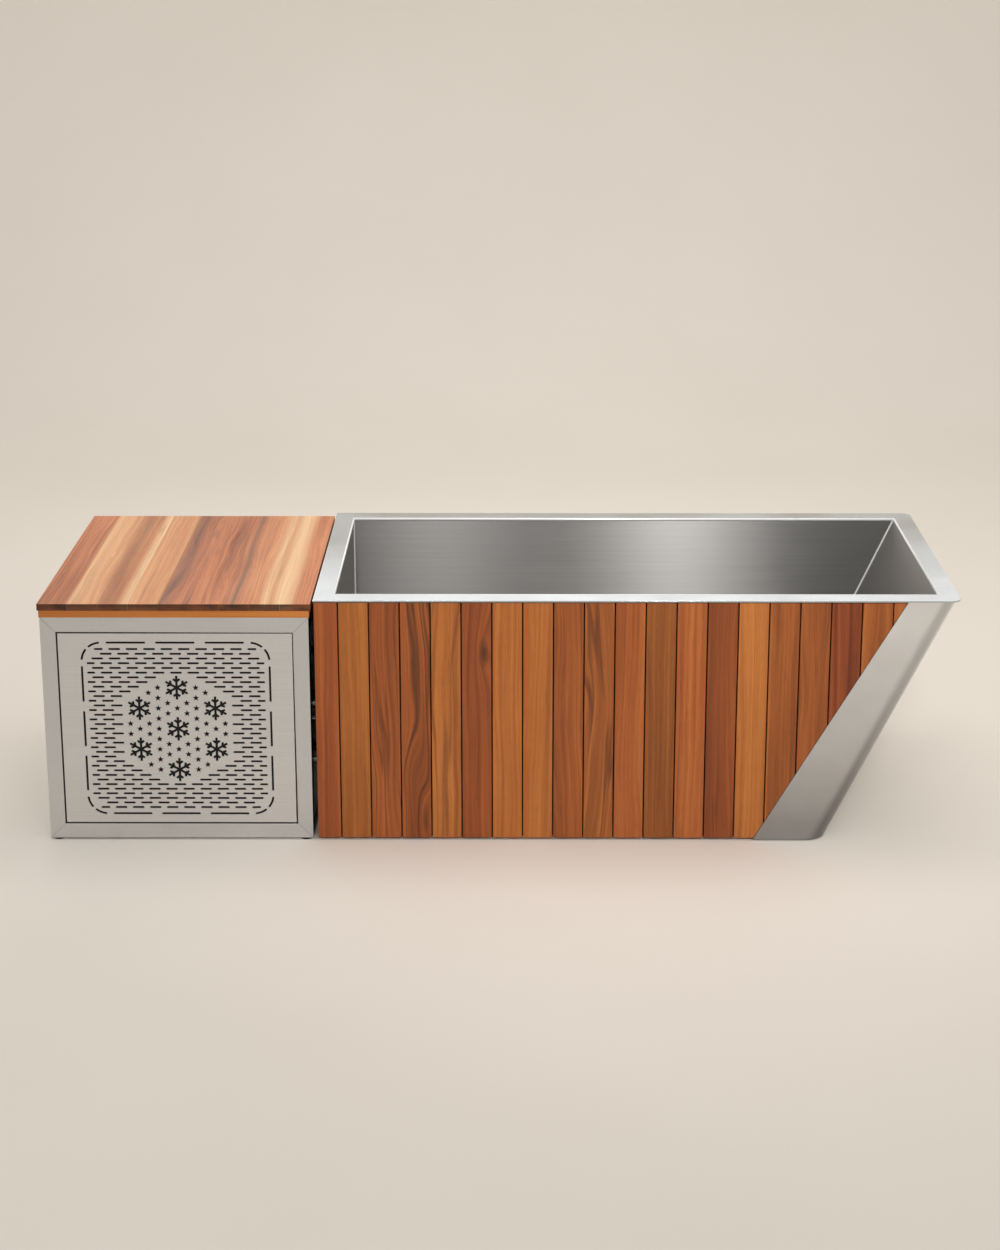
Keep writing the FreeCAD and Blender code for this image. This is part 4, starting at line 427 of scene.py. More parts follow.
# Slats: upright hardwood boards, planed and oiled, set with open joints on both long sides of the tub.
# The last ones are sawn on the slant where the stainless band starts. Each board has its own tone and figure.
def board_wood(name, across, along, grades, colours, heart, bands=(), gloss=0.5, coat=0.0, end_grain=None,
               knot_share=1.0):
    """Oiled hardwood: each board has a grade, with wavy figure, fibres, knots and dark heart streaks."""
    wood = Finish(name)
    wood.surface.inputs["Specular IOR Level"].default_value = 0.3
    wood.surface.inputs["Coat Weight"].default_value = coat
    wood.surface.inputs["Coat Roughness"].default_value = 0.3
    thick = ({"X", "Y", "Z"} - {across, along}).pop()
    board = wood.node("Attribute", attribute_name="board").outputs["Fac"]
    turn = wood.sum("FRACT", wood.sum("DIVIDE", wood.sum("ADD", board, 0.5), len(grades)))
    stops = [(place / len(grades), grade) for place, grade in enumerate(grades)]
    grade = wood.node("SeparateColor", {0: wood.ramp(turn, *stops, steps=True)}).outputs
    paleness, yellow, streaky = grade
    luck = wood.node("TexWhiteNoise", {"W": board}, noise_dimensions="1D").outputs["Color"]
    turned = wood.node("CombineXYZ", {0: wood.axis(across), 1: wood.axis(thick), 2: wood.axis(along)})
    apart = wood.node("VectorMath", {0: luck, "Scale": 9.0}, operation="SCALE").outputs[0]
    local = wood.node("VectorMath", {0: turned.outputs[0], 1: apart}, operation="ADD").outputs[0]

    knots = wood.node("TexVoronoi", {"Vector": wood.stretched((9.0, 3.0, 2.4), local), "Scale": 1.0})
    chance = wood.node("SeparateColor", {0: knots.outputs["Color"]}).outputs[0]
    knotty = wood.sum("GREATER_THAN", chance, wood.ranged(streaky, 0.0, 1.0, 0.93, 0.4))
    knotty = wood.sum("MULTIPLY", knotty, knot_share)
    near_knot = wood.sum("MULTIPLY", wood.ranged(knots.outputs["Distance"], 0.04, 0.4, 1.0, 0.0), knotty)
    sway = wood.ranged(wood.speckle((7.0, 4.0, 1.3), 2.0, local), 0.25, 0.75, -0.02, 0.02)
    sway = wood.sum("MULTIPLY", sway, wood.ranged(streaky, 0.0, 1.0, 0.7, 2.2))
    bend = wood.sum("ADD", sway, wood.sum("MULTIPLY", wood.sum("POWER", near_knot, 2.0), 0.03))
    swayed = wood.node("VectorMath", {0: local, 1: wood.node("CombineXYZ", {0: bend}).outputs[0]},
                       operation="ADD").outputs[0]

    figure = wood.speckle((120.0, 12.0, 0.8), 3.0, swayed)
    fibres = wood.speckle((850.0, 400.0, 10.0), 3.0, swayed)
    clouds = wood.speckle((11.0, 4.0, 1.4), 3.0, swayed)
    level = wood.sum("ADD", wood.sum("MULTIPLY", figure, 0.45), wood.sum("MULTIPLY", fibres, 0.2))
    level = wood.sum("ADD", level, wood.sum("MULTIPLY", clouds, 0.35))
    level = wood.sum("ADD", level, wood.ranged(paleness, 0.0, 1.0, -0.17, 0.17))
    dark, middle, pale = colours
    colour = wood.ramp(level, (0.28, dark), (0.51, middle), (0.76, pale))
    warmth = wood.ranged(yellow, 0.0, 1.0, 0.492, 0.508)
    colour = wood.node("HueSaturation", {"Hue": warmth, "Color": colour}).outputs[0]
    drift = wood.speckle((24.0, 5.0, 0.7), 2.0, swayed)
    vein = wood.ranged(wood.sum("ABSOLUTE", wood.sum("SUBTRACT", drift, 0.52)), 0.004, 0.03, 1.0, 0.0)
    dark_drift = wood.ranged(drift, 0.54, 0.7, 0.0, 0.7)
    streaks = wood.sum("MULTIPLY", wood.sum("MAXIMUM", dark_drift, vein), streaky)
    pores = wood.ranged(wood.speckle((1300.0, 500.0, 26.0), 1.0, swayed), 0.58, 0.72, 0.0, 0.3)
    colour = wood.mixed(pores, colour, heart)
    if bands:
        low, high, sapwood, stripes = bands
        waved = wood.sum("ADD", wood.axis(across), wood.sum("MULTIPLY", sway, 0.5))
        sideways = wood.ranged(waved, low, high)
        sap, core = wood.node("SeparateColor", {0: wood.ramp(sideways, *stripes)}).outputs[:2]
        pale_share = wood.sum("MULTIPLY", sap, wood.ranged(figure, 0.2, 0.6, 0.6, 1.0))
        colour = wood.mixed(pale_share, colour, sapwood)
        streaks = wood.sum("MAXIMUM", streaks, wood.sum("MULTIPLY", core, wood.ranged(figure, 0.3, 0.55)))
    knot_eye = wood.ranged(near_knot, 0.75, 1.0)
    colour = wood.mixed(wood.sum("MULTIPLY", wood.sum("MAXIMUM", streaks, knot_eye), 0.8), colour, heart)
    if end_grain:
        on_end = wood.ranged(wood.sum("ABSOLUTE", wood.facing(along)), 0.6, 0.9, 0.0, 0.95)
        ends = wood.ranged(wood.speckle((16.0, 40.0, 1.0), 2.0, local), 0.38, 0.62)
        colour = wood.mixed(on_end, colour, wood.mixed(ends, *end_grain))
    shine = wood.ranged(wood.sum("ADD", fibres, clouds), 0.6, 1.4, gloss + 0.1, gloss - 0.08)
    relief = wood.sum("ADD", fibres, wood.sum("MULTIPLY", figure, 0.8))
    return wood.show(colour, shine, relief, 0.00025, 0.35)


slat_grades = [(0.5, 0.25, 0.0), (0.65, 0.85, 0.0), (0.42, 0.35, 0.6), (0.42, 0.4, 1.0), (0.75, 0.7, 0.5),
               (0.25, 0.3, 0.0), (0.8, 0.7, 0.0), (0.75, 0.75, 0.0), (0.4, 0.5, 0.2), (0.6, 0.6, 0.75),
               (0.6, 0.4, 0.0), (0.25, 0.9, 0.0), (0.6, 0.35, 0.0), (0.25, 0.3, 0.3), (0.85, 0.7, 0.0),
               (0.45, 0.6, 0.0), (0.5, 0.5, 0.35), (0.15, 0.1, 0.0), (0.6, 0.55, 0.0), (0.65, 0.5, 0.0)]
slat_wood = board_wood("slat_wood", "X", "Z", slat_grades,
                       (tone(108, 52, 22), tone(158, 86, 38), tone(198, 120, 58)), tone(70, 38, 20))
slat_low, slat_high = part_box("front_slats")
slat_pitch = 0.080
slat_joint = 0.0035
first_board = 0.062
slant = 0.581
slat_thick = 0.018
slat_count = 20
slat_tall = slat_high.z - slat_low.z
saw_long = 2.0
saw_tall = 1.0


def slat_row(name, middle_y, seed):
    """A row of boards on one side, sawn off along the edge of the stainless band."""
    rule = Pattern(name + "_pattern")
    pitch = rule.size("Pitch", slat_pitch)
    joint = rule.size("Joint", slat_joint)
    first = rule.size("First board", first_board)
    tall = rule.size("Height", slat_tall)
    thick = rule.size("Thickness", slat_thick)
    count = rule.size("Boards", slat_count, "NodeSocketInt")
    left = rule.size("Left edge", slat_low.x)
    cut_top = rule.size("Cut at top", slat_high.x)
    lean = rule.size("Slant", slant)
    middle_z = (slat_low.z + slat_high.z) / 2
    wide = rule.sum("SUBTRACT", pitch, joint)
    plain_x = rule.sum("SUBTRACT", rule.sum("ADD", left, first), rule.sum("MULTIPLY", pitch, 0.5))
    boards = rule.repeated(rule.row(count, rule.point(plain_x, middle_y, middle_z), rule.point(pitch)),
                           rule.block(wide, thick, tall))
    through = rule.sum("MULTIPLY", thick, 3.0)
    outside_x = rule.sum("SUBTRACT", left, rule.sum("MULTIPLY", pitch, 0.5))
    lefthand = rule.moved(rule.block(pitch, through, saw_tall), rule.point(outside_x, middle_y, middle_z))
    saw = rule.block(saw_long, through, saw_tall)
    place = rule.node("ShaderNodeSeparateXYZ", {0: rule.node("GeometryNodeInputPosition").outputs[0]}).outputs
    leaned = rule.node("GeometryNodeSetPosition", {
        "Geometry": saw, "Offset": rule.point(rule.sum("MULTIPLY", place[2], lean))}).outputs[0]
    from_top = rule.sum("MULTIPLY", rule.sum("MULTIPLY", tall, 0.5), lean)
    saw_x = rule.sum("ADD", rule.sum("SUBTRACT", cut_top, from_top), saw_long / 2)
    leaned = rule.moved(leaned, rule.point(saw_x, middle_y, middle_z))
    sawn = rule.node("GeometryNodeMeshBoolean", {"Mesh 1": rule.real(boards)}, operation="DIFFERENCE",
                     solver="EXACT")
    rule.tree.links.new(leaned, sawn.inputs["Mesh 2"])
    rule.tree.links.new(lefthand, sawn.inputs["Mesh 2"])
    from_first = rule.sum("SUBTRACT", place[0], rule.sum("ADD", left, first))
    number = rule.sum("ADD", rule.sum("CEIL", rule.sum("DIVIDE", from_first, pitch)), seed)
    named = rule.node("GeometryNodeStoreNamedAttribute", {"Geometry": sawn.outputs["Mesh"], "Name": "board",
                                                          "Value": number}, data_type="FLOAT", domain="FACE")
    row = rule.made(name, named.outputs["Geometry"], slat_wood)
    return eased(row, 0.0012)


def eased(piece, width):
    """Take the sharpness off a piece's edges."""
    step = piece.modifiers.new("eased_edges", "BEVEL")
    step.width = width
    step.segments = 2
    step.limit_method = "ANGLE"
    step.angle_limit = math.radians(30)
    return piece


back_low, back_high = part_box("back_slats")
fitted(slat_row("front_slat_boards", (slat_low.y + slat_high.y) / 2, 0.0), "tub", "slat_wood", "front_slats")
fitted(slat_row("back_slat_boards", (back_low.y + back_high.y) / 2, 31.0), "tub", "slat_wood", "back_slats")


# Left end of the tub: a black painted sheet behind the gap, the joining bolts and the water fittings.
# The bolts are dark zinc, and each stainless fitting is clamped through the wall by a plastic locknut.
black_plastic = moulded("black_plastic", tone(32, 32, 33), 0.45, 700.0)
dress(black_paint, "left_end_panel")
dress(brushed_steel("dark_zinc", (False, True, True), 0.1, 0.35), "joining_bolts", ease=0.0008)
bright_steel = brushed_steel("bright_steel", (False, True, True), 0.72, 0.22)
dress(bright_steel, "water_fittings", ease=0.0008)
dress(black_rubber, "bulkhead_gaskets")
dress(black_plastic, "bulkhead_locknuts", ease=0.001)


# Cabinet frames: 40 mm square stainless tube, mitred and welded at the corners, then brushed along each bar.
# Rails join the front frame to the back one, and round rubber pads are glued under the corners.
def paint_gap_shade(steel, colour, side_x):
    """The colour with painted shade: black on the side that stands against the tub, in the gap between them.
    """
    gap_shade_mask = steel.sum("MULTIPLY", steel.ranged(steel.facing("X"), 0.5, 0.8),
                       steel.sum("GREATER_THAN", steel.axis("X"), side_x - 0.002))
    return steel.mixed(gap_shade_mask, colour, tone(7, 7, 7))


def frame_steel(name, node, shade):
    """Brushed along each bar, so that the brushing turns the corner on the mitre, where a weld line shows."""
    low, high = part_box(node)
    steel = Finish(name, Metallic=1.0)
    edge = []
    for way, start, end in (("X", low.x, high.x), ("Z", low.z, high.z)):
        edge.append(steel.sum("MINIMUM", steel.sum("SUBTRACT", steel.axis(way), start),
                              steel.sum("SUBTRACT", end, steel.axis(way))))
    standing = steel.sum("LESS_THAN", *edge)
    on_mitre = steel.sum("ABSOLUTE", steel.sum("SUBTRACT", *edge))
    weld = steel.ranged(on_mitre, 0.0004, 0.0013, 0.75, 0.0)
    level_lines = steel.speckle((7.0, 1500.0, 1500.0), 3.0)
    upright_lines = steel.speckle((1500.0, 1500.0, 7.0), 3.0)
    picked = steel.node("Mix", {0: standing, 2: level_lines, 3: upright_lines}, data_type="FLOAT").outputs[0]
    cloud = steel.speckle((7.0, 7.0, 7.0), 5.0)
    shares = (0.92, 1.08, 0.86, 0.97, 0.42)
    dark, pale, handled, upright_tone, weld_tone = [(shade * share,) * 3 for share in shares]
    colour = steel.mixed(steel.ranged(picked, 0.3, 0.7), dark, pale)
    colour = steel.mixed(steel.ranged(cloud, 0.4, 0.75, 0.0, 0.55), colour, handled)
    colour = steel.mixed(standing, colour, upright_tone, "DARKEN")
    colour = steel.mixed(weld, colour, weld_tone)
    gloss = steel.ranged(cloud, 0.3, 0.7, 0.34, 0.43)
    # Painted shade: black on the side that stands against the tub.
    return steel.show(paint_gap_shade(steel, colour, high.x), gloss, picked, 0.00006, 0.22)


dress(frame_steel("front_frame_steel", "cabinet_front_frame", 0.63), "cabinet_front_frame", ease=0.0014)
dress(frame_steel("back_frame_steel", "cabinet_back_frame", 0.63), "cabinet_back_frame", ease=0.0014)
rails_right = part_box("cabinet_side_rails")[1].x
# The rails get painted shade: black on their side against the tub.
rail_steel = brushed_steel("rail_steel", (False, True, False), 0.6, 0.4, gap_shade_x=rails_right)
sheet_steel = brushed_steel("sheet_steel", upright, 0.6, 0.4)
dress(rail_steel, "cabinet_side_rails", ease=0.001)
dress(black_rubber, "cabinet_feet", ease=0.002)
dress(sheet_steel, "floor_pan", "left_panel", "back_panel")
toward_left = (0.0, -math.pi / 2, 0.0)
toward_front = (math.pi / 2, 0.0, 0.0)
screw_rule = Pattern("panel_screw_pattern")
head_radius = screw_rule.size("Head radius", 0.0045)
head_thick = screw_rule.size("Head thickness", 0.0015)
key_size = screw_rule.size("Key size", 0.0018)
shank_radius = screw_rule.size("Shank radius", 0.002)
shank_length = screw_rule.size("Shank length", 0.004)
head = screw_rule.moved(screw_rule.rod(head_radius, head_thick, 24),
                        screw_rule.point(z=screw_rule.sum("MULTIPLY", head_thick, 0.5)))
key_hole = screw_rule.moved(screw_rule.rod(key_size, head_thick, 6), screw_rule.point(z=head_thick))
drilled = screw_rule.node("GeometryNodeMeshBoolean", {"Mesh 1": head}, operation="DIFFERENCE",
                          solver="EXACT")
screw_rule.tree.links.new(key_hole, drilled.inputs["Mesh 2"])
shank = screw_rule.moved(screw_rule.rod(shank_radius, shank_length, 12),
                         screw_rule.point(z=screw_rule.sum("MULTIPLY", shank_length, -0.5)))
screw = screw_rule.joined(drilled.outputs["Mesh"], shank)


def centre(node):
    """The middle of a node's box."""
    low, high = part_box(node)
    return (low + high) / 2


screw_end = 0.040
screw_edge = 0.014
side_low, side_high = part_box("left_panel")
rear_low, rear_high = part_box("back_panel")
left_screws = [(side_low.x, y, z) for y in (centre("cabinet_front_frame").y, centre("cabinet_back_frame").y)
               for z in (side_low.z + screw_end, centre("left_panel").z, side_high.z - screw_end)]
back_screws = [(x, rear_low.y, z) for x in (rear_low.x + screw_edge, rear_high.x - screw_edge)
               for z in (rear_low.z + screw_end, centre("back_panel").z, rear_high.z - screw_end)]
all_screws = screw_rule.joined(*[screw_rule.moved(screw, place, toward_left) for place in left_screws],
                               *[screw_rule.moved(screw, place, toward_front) for place in back_screws])
screw_heads = screw_rule.made("panel_screw_heads", all_screws, bright_steel)
fitted(eased(screw_heads, 0.0003), "tub", "stainless_steel", "panel_screws")


# Chiller: a finned condenser with its fan and shroud, a black compressor on rubber mounts, an evaporator
# barrel and bare copper lines. All of it is bolted to the floor pan and seen through the open lid or door.
fin_aluminium = brushed_steel("fin_aluminium", upright, 0.74, 0.42)
copper = Finish("bare_copper", Metallic=1.0)
tarnish = copper.speckle((18.0, 18.0, 18.0), 5.0)
copper_line = copper.show(copper.ramp(tarnish, (0.3, tone(150, 84, 58)), (0.6, tone(202, 126, 92))),
                          copper.ranged(tarnish, 0.3, 0.7, 0.42, 0.26), tarnish, 0.0002, 0.2)
barrel_foam = moulded("barrel_foam", tone(38, 38, 40), 0.8, 320.0, 0.5)
coil_low, coil_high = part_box("condenser")
fin_rule = Pattern("condenser_fin_pattern")
fin_pitch = 0.004
plate_thick = 0.003
fin_set_back = 0.002
fin_length = coil_high.x - coil_low.x
fin_depth = coil_high.y - coil_low.y
fin_height = coil_high.z - coil_low.z
fin_count = fin_rule.size("Fins", int((fin_length - plate_thick) / fin_pitch), "NodeSocketInt")
fin_step = fin_rule.size("Fin pitch", fin_pitch)
fin_sheet = fin_rule.size("Fin thickness", 0.0005)
plate = fin_rule.size("Plate thickness", plate_thick)
coil_middle = centre("condenser")
fins = fin_rule.repeated(
    fin_rule.row(fin_count, (coil_low.x + fin_pitch, coil_middle.y, coil_middle.z), fin_rule.point(fin_step)),
    fin_rule.block(fin_sheet, fin_depth - fin_set_back, fin_height - plate_thick))
end_plate = fin_rule.block(plate, fin_depth, fin_height)
long_plate = fin_rule.block(fin_length, fin_depth, plate)
plates = [fin_rule.moved(end_plate, (x, coil_middle.y, coil_middle.z))
          for x in (coil_low.x + plate_thick / 2, coil_high.x - plate_thick / 2)]
plates += [fin_rule.moved(long_plate, (coil_middle.x, coil_middle.y, z))
           for z in (coil_low.z + plate_thick / 2, coil_high.z - plate_thick / 2)]
fitted(fin_rule.made("condenser_fins", fin_rule.joined(fins, *plates), fin_aluminium), "tub", "fin_aluminium",
       "condenser")
coil_rule = Pattern("condenser_coil_pattern")
coil_radius = coil_rule.size("Tube radius", 0.005)
coil_rows = 6
row_step = fin_height / coil_rows
coils = []
for share in (0.25, 0.75):
    turns = []
    for row in range(coil_rows):
        ends = [coil_low.x - row_step / 2, coil_high.x + row_step / 2]
        for x in (ends if row % 2 == 0 else ends[::-1]):
            turns.append((x, coil_low.y + fin_depth * share, coil_low.z + row_step * (row + 0.5)))
    turns[0] = (coil_low.x, *turns[0][1:])
    turns[-1] = (coil_low.x, *turns[-1][1:])
    coils.append(coil_rule.swept(coil_rule.path(turns, row_step / 2), coil_radius))
fitted(coil_rule.made("condenser_coil", coil_rule.joined(*coils), copper_line), "tub", "copper")
strap_rule = Pattern("barrel_strap_pattern")
strap_wide = strap_rule.size("Strap width", 0.012)
strap_thick = strap_rule.size("Strap thickness", 0.001)
barrel_strap = strap_rule.hoop(strap_rule.size("Barrel radius", 0.0852), strap_wide, strap_thick)
barrel_x, barrel_y = -0.8995, 0.160
strap_heights = (0.075, 0.250, 0.427)
straps = [strap_rule.moved(barrel_strap, (barrel_x, barrel_y, z)) for z in strap_heights]
fitted(eased(strap_rule.made("barrel_straps", strap_rule.joined(*straps), bright_steel), 0.0003), "tub",
       "stainless_steel")
seam_rule = Pattern("compressor_seam_pattern")
seam_height = 0.180
seam = seam_rule.hoop(seam_rule.size("Seam radius", 0.0702), seam_rule.size("Seam width", 0.006),
                      seam_rule.size("Seam thickness", 0.002))
seam = seam_rule.moved(seam, (centre("compressor").x, centre("compressor").y, seam_height))
shell_seam = seam_rule.made("compressor_seam", seam, black_paint)
fitted(eased(shell_seam, 0.0006), "tub", "black_paint")
dress(black_plastic, "fan_shroud", "fan_blades", ease=0.001)
dress(black_paint, "fan_motor", ease=0.001)
dress(black_paint, "compressor", ease=0.004)
dress(black_rubber, "compressor_mounts", ease=0.001)
dress(barrel_foam, "evaporator", ease=0.002)
dress(copper_line, "refrigerant_lines")


# Pump, filter and hoses: a plastic volute with its motor, a white filter housing with a quarter-turn cap,
# and clear hoses pushed over the necks.
dress(black_plastic, "pump_housing", "pump_impeller", ease=0.001)
dress(black_paint, "pump_motor", ease=0.002)
white_plastic = moulded("white_plastic", tone(224, 222, 216), 0.4, 700.0, 0.05)
dress(white_plastic, "filter_housing", ease=0.0015)
pleat_paper = moulded("pleat_paper", tone(212, 216, 220), 0.8, 240.0, 0.1)
dress(pleat_paper, "filter_cartridge")
dress(black_plastic, "filter_cap", ease=0.002)
hose_skin = Finish("hose_skin", Transmission_Weight=0.55, IOR=1.45)
hose_cloud = hose_skin.speckle((30.0, 30.0, 30.0), 3.0)
hose_tint = hose_skin.ramp(hose_cloud, (0.3, tone(176, 186, 188)), (0.7, tone(214, 220, 220)))
hose_gloss = hose_skin.ranged(hose_cloud, 0.3, 0.7, 0.16, 0.3)
clear_hose = hose_skin.show(hose_tint, hose_gloss, hose_cloud, 0.0003, 0.2)
dress(clear_hose, "water_hoses")
clamp_rule = Pattern("hose_clamp_pattern")
hose_radius = clamp_rule.size("Hose radius", 0.0181)
band_proud, case_proud, worm_proud = 0.0004, 0.0035, 0.0045
case_high, case_wide, case_long = 0.007, 0.013, 0.0095
worm_long = 0.019
band = clamp_rule.hoop(clamp_rule.sum("ADD", hose_radius, band_proud), clamp_rule.size("Band width", 0.009),
                       clamp_rule.size("Band thickness", 0.001))
case = clamp_rule.moved(clamp_rule.block(case_high, case_wide, case_long),
                        clamp_rule.point(clamp_rule.sum("ADD", hose_radius, case_proud)))
worm = clamp_rule.moved(clamp_rule.rod(clamp_rule.size("Worm radius", 0.0032), worm_long, 12),
                        clamp_rule.point(clamp_rule.sum("ADD", hose_radius, worm_proud)), toward_front)
clamp = clamp_rule.joined(band, case, worm)
unturned = (0.0, 0.0, 0.0)
clamp_places = {"pump inlet": ((-0.6245, -0.080, 0.140), toward_left),
                "suction fitting": ((-0.5390, -0.080, 0.140), toward_left),
                "pump outlet": ((-0.6605, -0.080, 0.2115), unturned),
                "filter inlet": ((-0.6605, 0.0690, 0.300), toward_front),
                "barrel inlet": ((-0.8030, barrel_y, 0.120), toward_left),
                "filter outlet": ((-0.7520, barrel_y, 0.120), toward_left),
                "barrel outlet": ((barrel_x, 0.0640, 0.400), toward_front),
                "return fitting": ((-0.5390, -0.010, 0.400), toward_left)}
clamps = [clamp_rule.moved(clamp, place, turn) for place, turn in clamp_places.values()]
hose_clamps = clamp_rule.made("hose_clamps", clamp_rule.joined(*clamps), bright_steel)
fitted(eased(hose_clamps, 0.0003), "tub", "stainless_steel")
rib_rule = Pattern("motor_rib_pattern")
motor_low, motor_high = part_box("pump_motor")
motor_radius = 0.050
rib_root = 0.002
rib_length = 0.120
rib_back = 0.010
motor_rib = rib_rule.block(rib_rule.size("Rib height", 0.006), rib_rule.size("Rib thickness", 0.0025),
                           rib_rule.size("Rib length", rib_length))
ribs = rib_rule.ringed(rib_rule.size("Ribs", 24, "NodeSocketInt"),
                       rib_rule.size("Ring radius", motor_radius + rib_root), motor_rib)
rib_place = (motor_low.x + rib_back + rib_length / 2, centre("pump_motor").y, motor_high.z - motor_radius)
ribs = rib_rule.moved(rib_rule.real(ribs), rib_place, toward_left)
fitted(eased(rib_rule.made("motor_cooling_ribs", ribs, black_paint), 0.0005), "tub", "black_paint")
cap_low, cap_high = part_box("filter_cap")
grip_rule = Pattern("cap_grip_pattern")
grip_rise = 0.021
grip = grip_rule.block(grip_rule.size("Grip height", 0.003), grip_rule.size("Grip width", 0.004),
                       grip_rule.size("Grip length", 0.010))
grips = grip_rule.ringed(grip_rule.size("Grips", 40, "NodeSocketInt"),
                         grip_rule.size("Cap radius", (cap_high.x - cap_low.x) / 2), grip)
grip_place = (centre("filter_cap").x, centre("filter_cap").y, cap_low.z + grip_rise)
grips = grip_rule.moved(grip_rule.real(grips), grip_place)
fitted(eased(grip_rule.made("cap_grips", grips, black_plastic), 0.0006), "cap", "black_plastic")


# Drain: a nickel-plated ball valve on the drain fitting, with a red coated lever that makes a quarter turn.
# A bent white plastic pipe leads from it and leaves through the back panel.
nickel = brushed_steel("nickel", lengthwise, 0.66, 0.26)
dress(nickel, "drain_valve", ease=0.0015)
dress(moulded("lever_coat", tone(150, 28, 24), 0.4, 600.0), "drain_handle", ease=0.0015)
dress(white_plastic, "drain_pipe")


# Controller: a black box on the shroud, with a dark display window and three soft buttons on its top.
# The power inlet is a moulded socket, snapped into the back panel.
display = Finish("display_glass", Coat_Weight=0.6)
sheen = display.speckle((60.0, 60.0, 60.0), 2.0)
display_glass = display.show(display.ramp(sheen, (0.3, tone(8, 10, 14)), (0.7, tone(18, 24, 30))),
                             display.ranged(sheen, 0.3, 0.7, 0.08, 0.14))
dress(black_plastic, "controller_box", ease=0.0015)
dress(display_glass, "display_window")
button_grey = moulded("button_grey", tone(150, 150, 148), 0.5, 500.0, 0.1)
dress(button_grey, "button_power", "button_up", "button_down", ease=0.0008)
dress(black_plastic, "power_inlet", ease=0.0006)


# Wooden top: nine edge-glued planks, grain front to back, planed flush and finished with a satin varnish.
# They are glued to a honey-coloured board that hangs on two butt hinges at the back.
lid_low, lid_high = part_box("lid_planks")
plank_count = 9
plank_grades = [(0.35, 0.45, 0.0), (0.6, 0.55, 0.1), (0.5, 0.6, 0.3), (0.7, 0.5, 0.1), (0.35, 0.4, 0.45),
                (0.4, 0.45, 0.3), (0.4, 0.45, 0.3), (0.5, 0.5, 0.15), (0.5, 0.45, 0.05)]
sapwood_stops = [(0.0, 0.0), (0.105, 0.0), (0.113, 0.55), (0.20, 0.25), (0.245, 0.0), (0.29, 0.0),
                 (0.32, 0.75), (0.331, 0.9), (0.336, 0.3), (0.44, 0.1), (0.475, 0.0), (0.51, 0.0),
                 (0.69, 0.0), (0.71, 0.0), (0.73, 0.05), (0.81, 0.1), (0.835, 0.75), (0.855, 0.25),
                 (0.885, 0.95), (0.925, 0.5), (0.95, 0.0)]
heartwood = {0.245: 0.6, 0.29: 0.15, 0.44: 0.2, 0.475: 1.0, 0.51: 0.1, 0.71: 0.95}
sap_and_heart = [(place, (sap, heartwood.get(place, 0.0), 0.0)) for place, sap in sapwood_stops]
plank_wood = board_wood("plank_wood", "X", "Y", plank_grades,
                        (tone(132, 66, 34), tone(212, 126, 72), tone(255, 184, 112)), tone(64, 40, 30),
                        bands=(lid_low.x, lid_high.x, tone(255, 216, 164), sap_and_heart), gloss=0.45,
                        coat=0.15, end_grain=(tone(44, 19, 5), tone(102, 54, 22)), knot_share=0.0)
lid_rule = Pattern("plank_pattern")
planks = lid_rule.size("Planks", plank_count, "NodeSocketInt")
lid_length = lid_rule.size("Length", lid_high.x - lid_low.x)
lid_depth = lid_rule.size("Depth", lid_high.y - lid_low.y)
lid_thick = lid_rule.size("Thickness", lid_high.z - lid_low.z)
plank_width = lid_rule.sum("DIVIDE", lid_length, planks)
plank_start = lid_rule.point(lid_rule.sum("ADD", lid_rule.sum("MULTIPLY", plank_width, 0.5), lid_low.x),
                             (lid_low.y + lid_high.y) / 2, (lid_low.z + lid_high.z) / 2)
plank_points = lid_rule.row(planks, plank_start, lid_rule.point(plank_width))
numbered = lid_rule.node("GeometryNodeStoreNamedAttribute", {
    "Geometry": plank_points, "Name": "board", "Value": lid_rule.node("GeometryNodeInputIndex").outputs[0]},
    data_type="FLOAT", domain="POINT").outputs["Geometry"]
plank_row = lid_rule.repeated(numbered, lid_rule.block(plank_width, lid_depth, lid_thick))
lid_top = lid_rule.made("lid_plank_boards", plank_row, plank_wood)
fitted(eased(lid_top, 0.0005), "lid", "plank_wood", "lid_planks")
honey_board = plain_timber("honey_board", tone(172, 96, 32), tone(208, 132, 52), lengthwise)
dress(honey_board, "lid_base_board", ease=0.0008)
hinge_steel = brushed_steel("hinge_steel", lengthwise, 0.7, 0.3, smudge=0.04)
dress(hinge_steel, "lid_hinge_lid_leaves", "lid_hinge_frame_leaves", "lid_hinge_pins")


# Vent door: a laser-cut stainless sheet with a folded edge frame behind it and a black dust screen.
# It turns on two pins near its right edge, and a magnet holds it shut.
door_steel = brushed_steel("door_steel", lengthwise, 0.67, 0.42, smudge=0.05)
screen_mesh = moulded("screen_mesh", tone(4, 4, 4), 0.95, 700.0, 0.4)
dress(door_steel, "vent_door")
dress(rail_steel, "door_edge_frame")
dress(screen_mesh, "dust_screen")
screen_low, screen_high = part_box("dust_screen")
weave_rule = Pattern("screen_weave_pattern")
wire_thick = 0.0008
wire_gap = 0.004
wire = weave_rule.size("Wire", wire_thick)
wire_step = weave_rule.size("Wire pitch", wire_gap)
screen_wide = screen_high.x - screen_low.x
screen_tall = screen_high.z - screen_low.z
first_standing = (screen_low.x + wire_gap / 2, screen_high.y, centre("dust_screen").z)
first_level = (centre("dust_screen").x, screen_high.y + wire_thick / 2, screen_low.z + wire_gap / 2)
standing_row = weave_rule.row(int(screen_wide / wire_gap), first_standing, weave_rule.point(wire_step))
level_row = weave_rule.row(int(screen_tall / wire_gap), first_level, weave_rule.point(z=wire_step))
standing_wires = weave_rule.repeated(standing_row, weave_rule.block(wire, wire, screen_tall - wire_gap))
level_wires = weave_rule.repeated(level_row, weave_rule.block(screen_wide - wire_gap, wire, wire))
weave = weave_rule.made("dust_screen_weave", weave_rule.joined(standing_wires, level_wires), black_plastic)
fitted(weave, "door", "black_plastic")
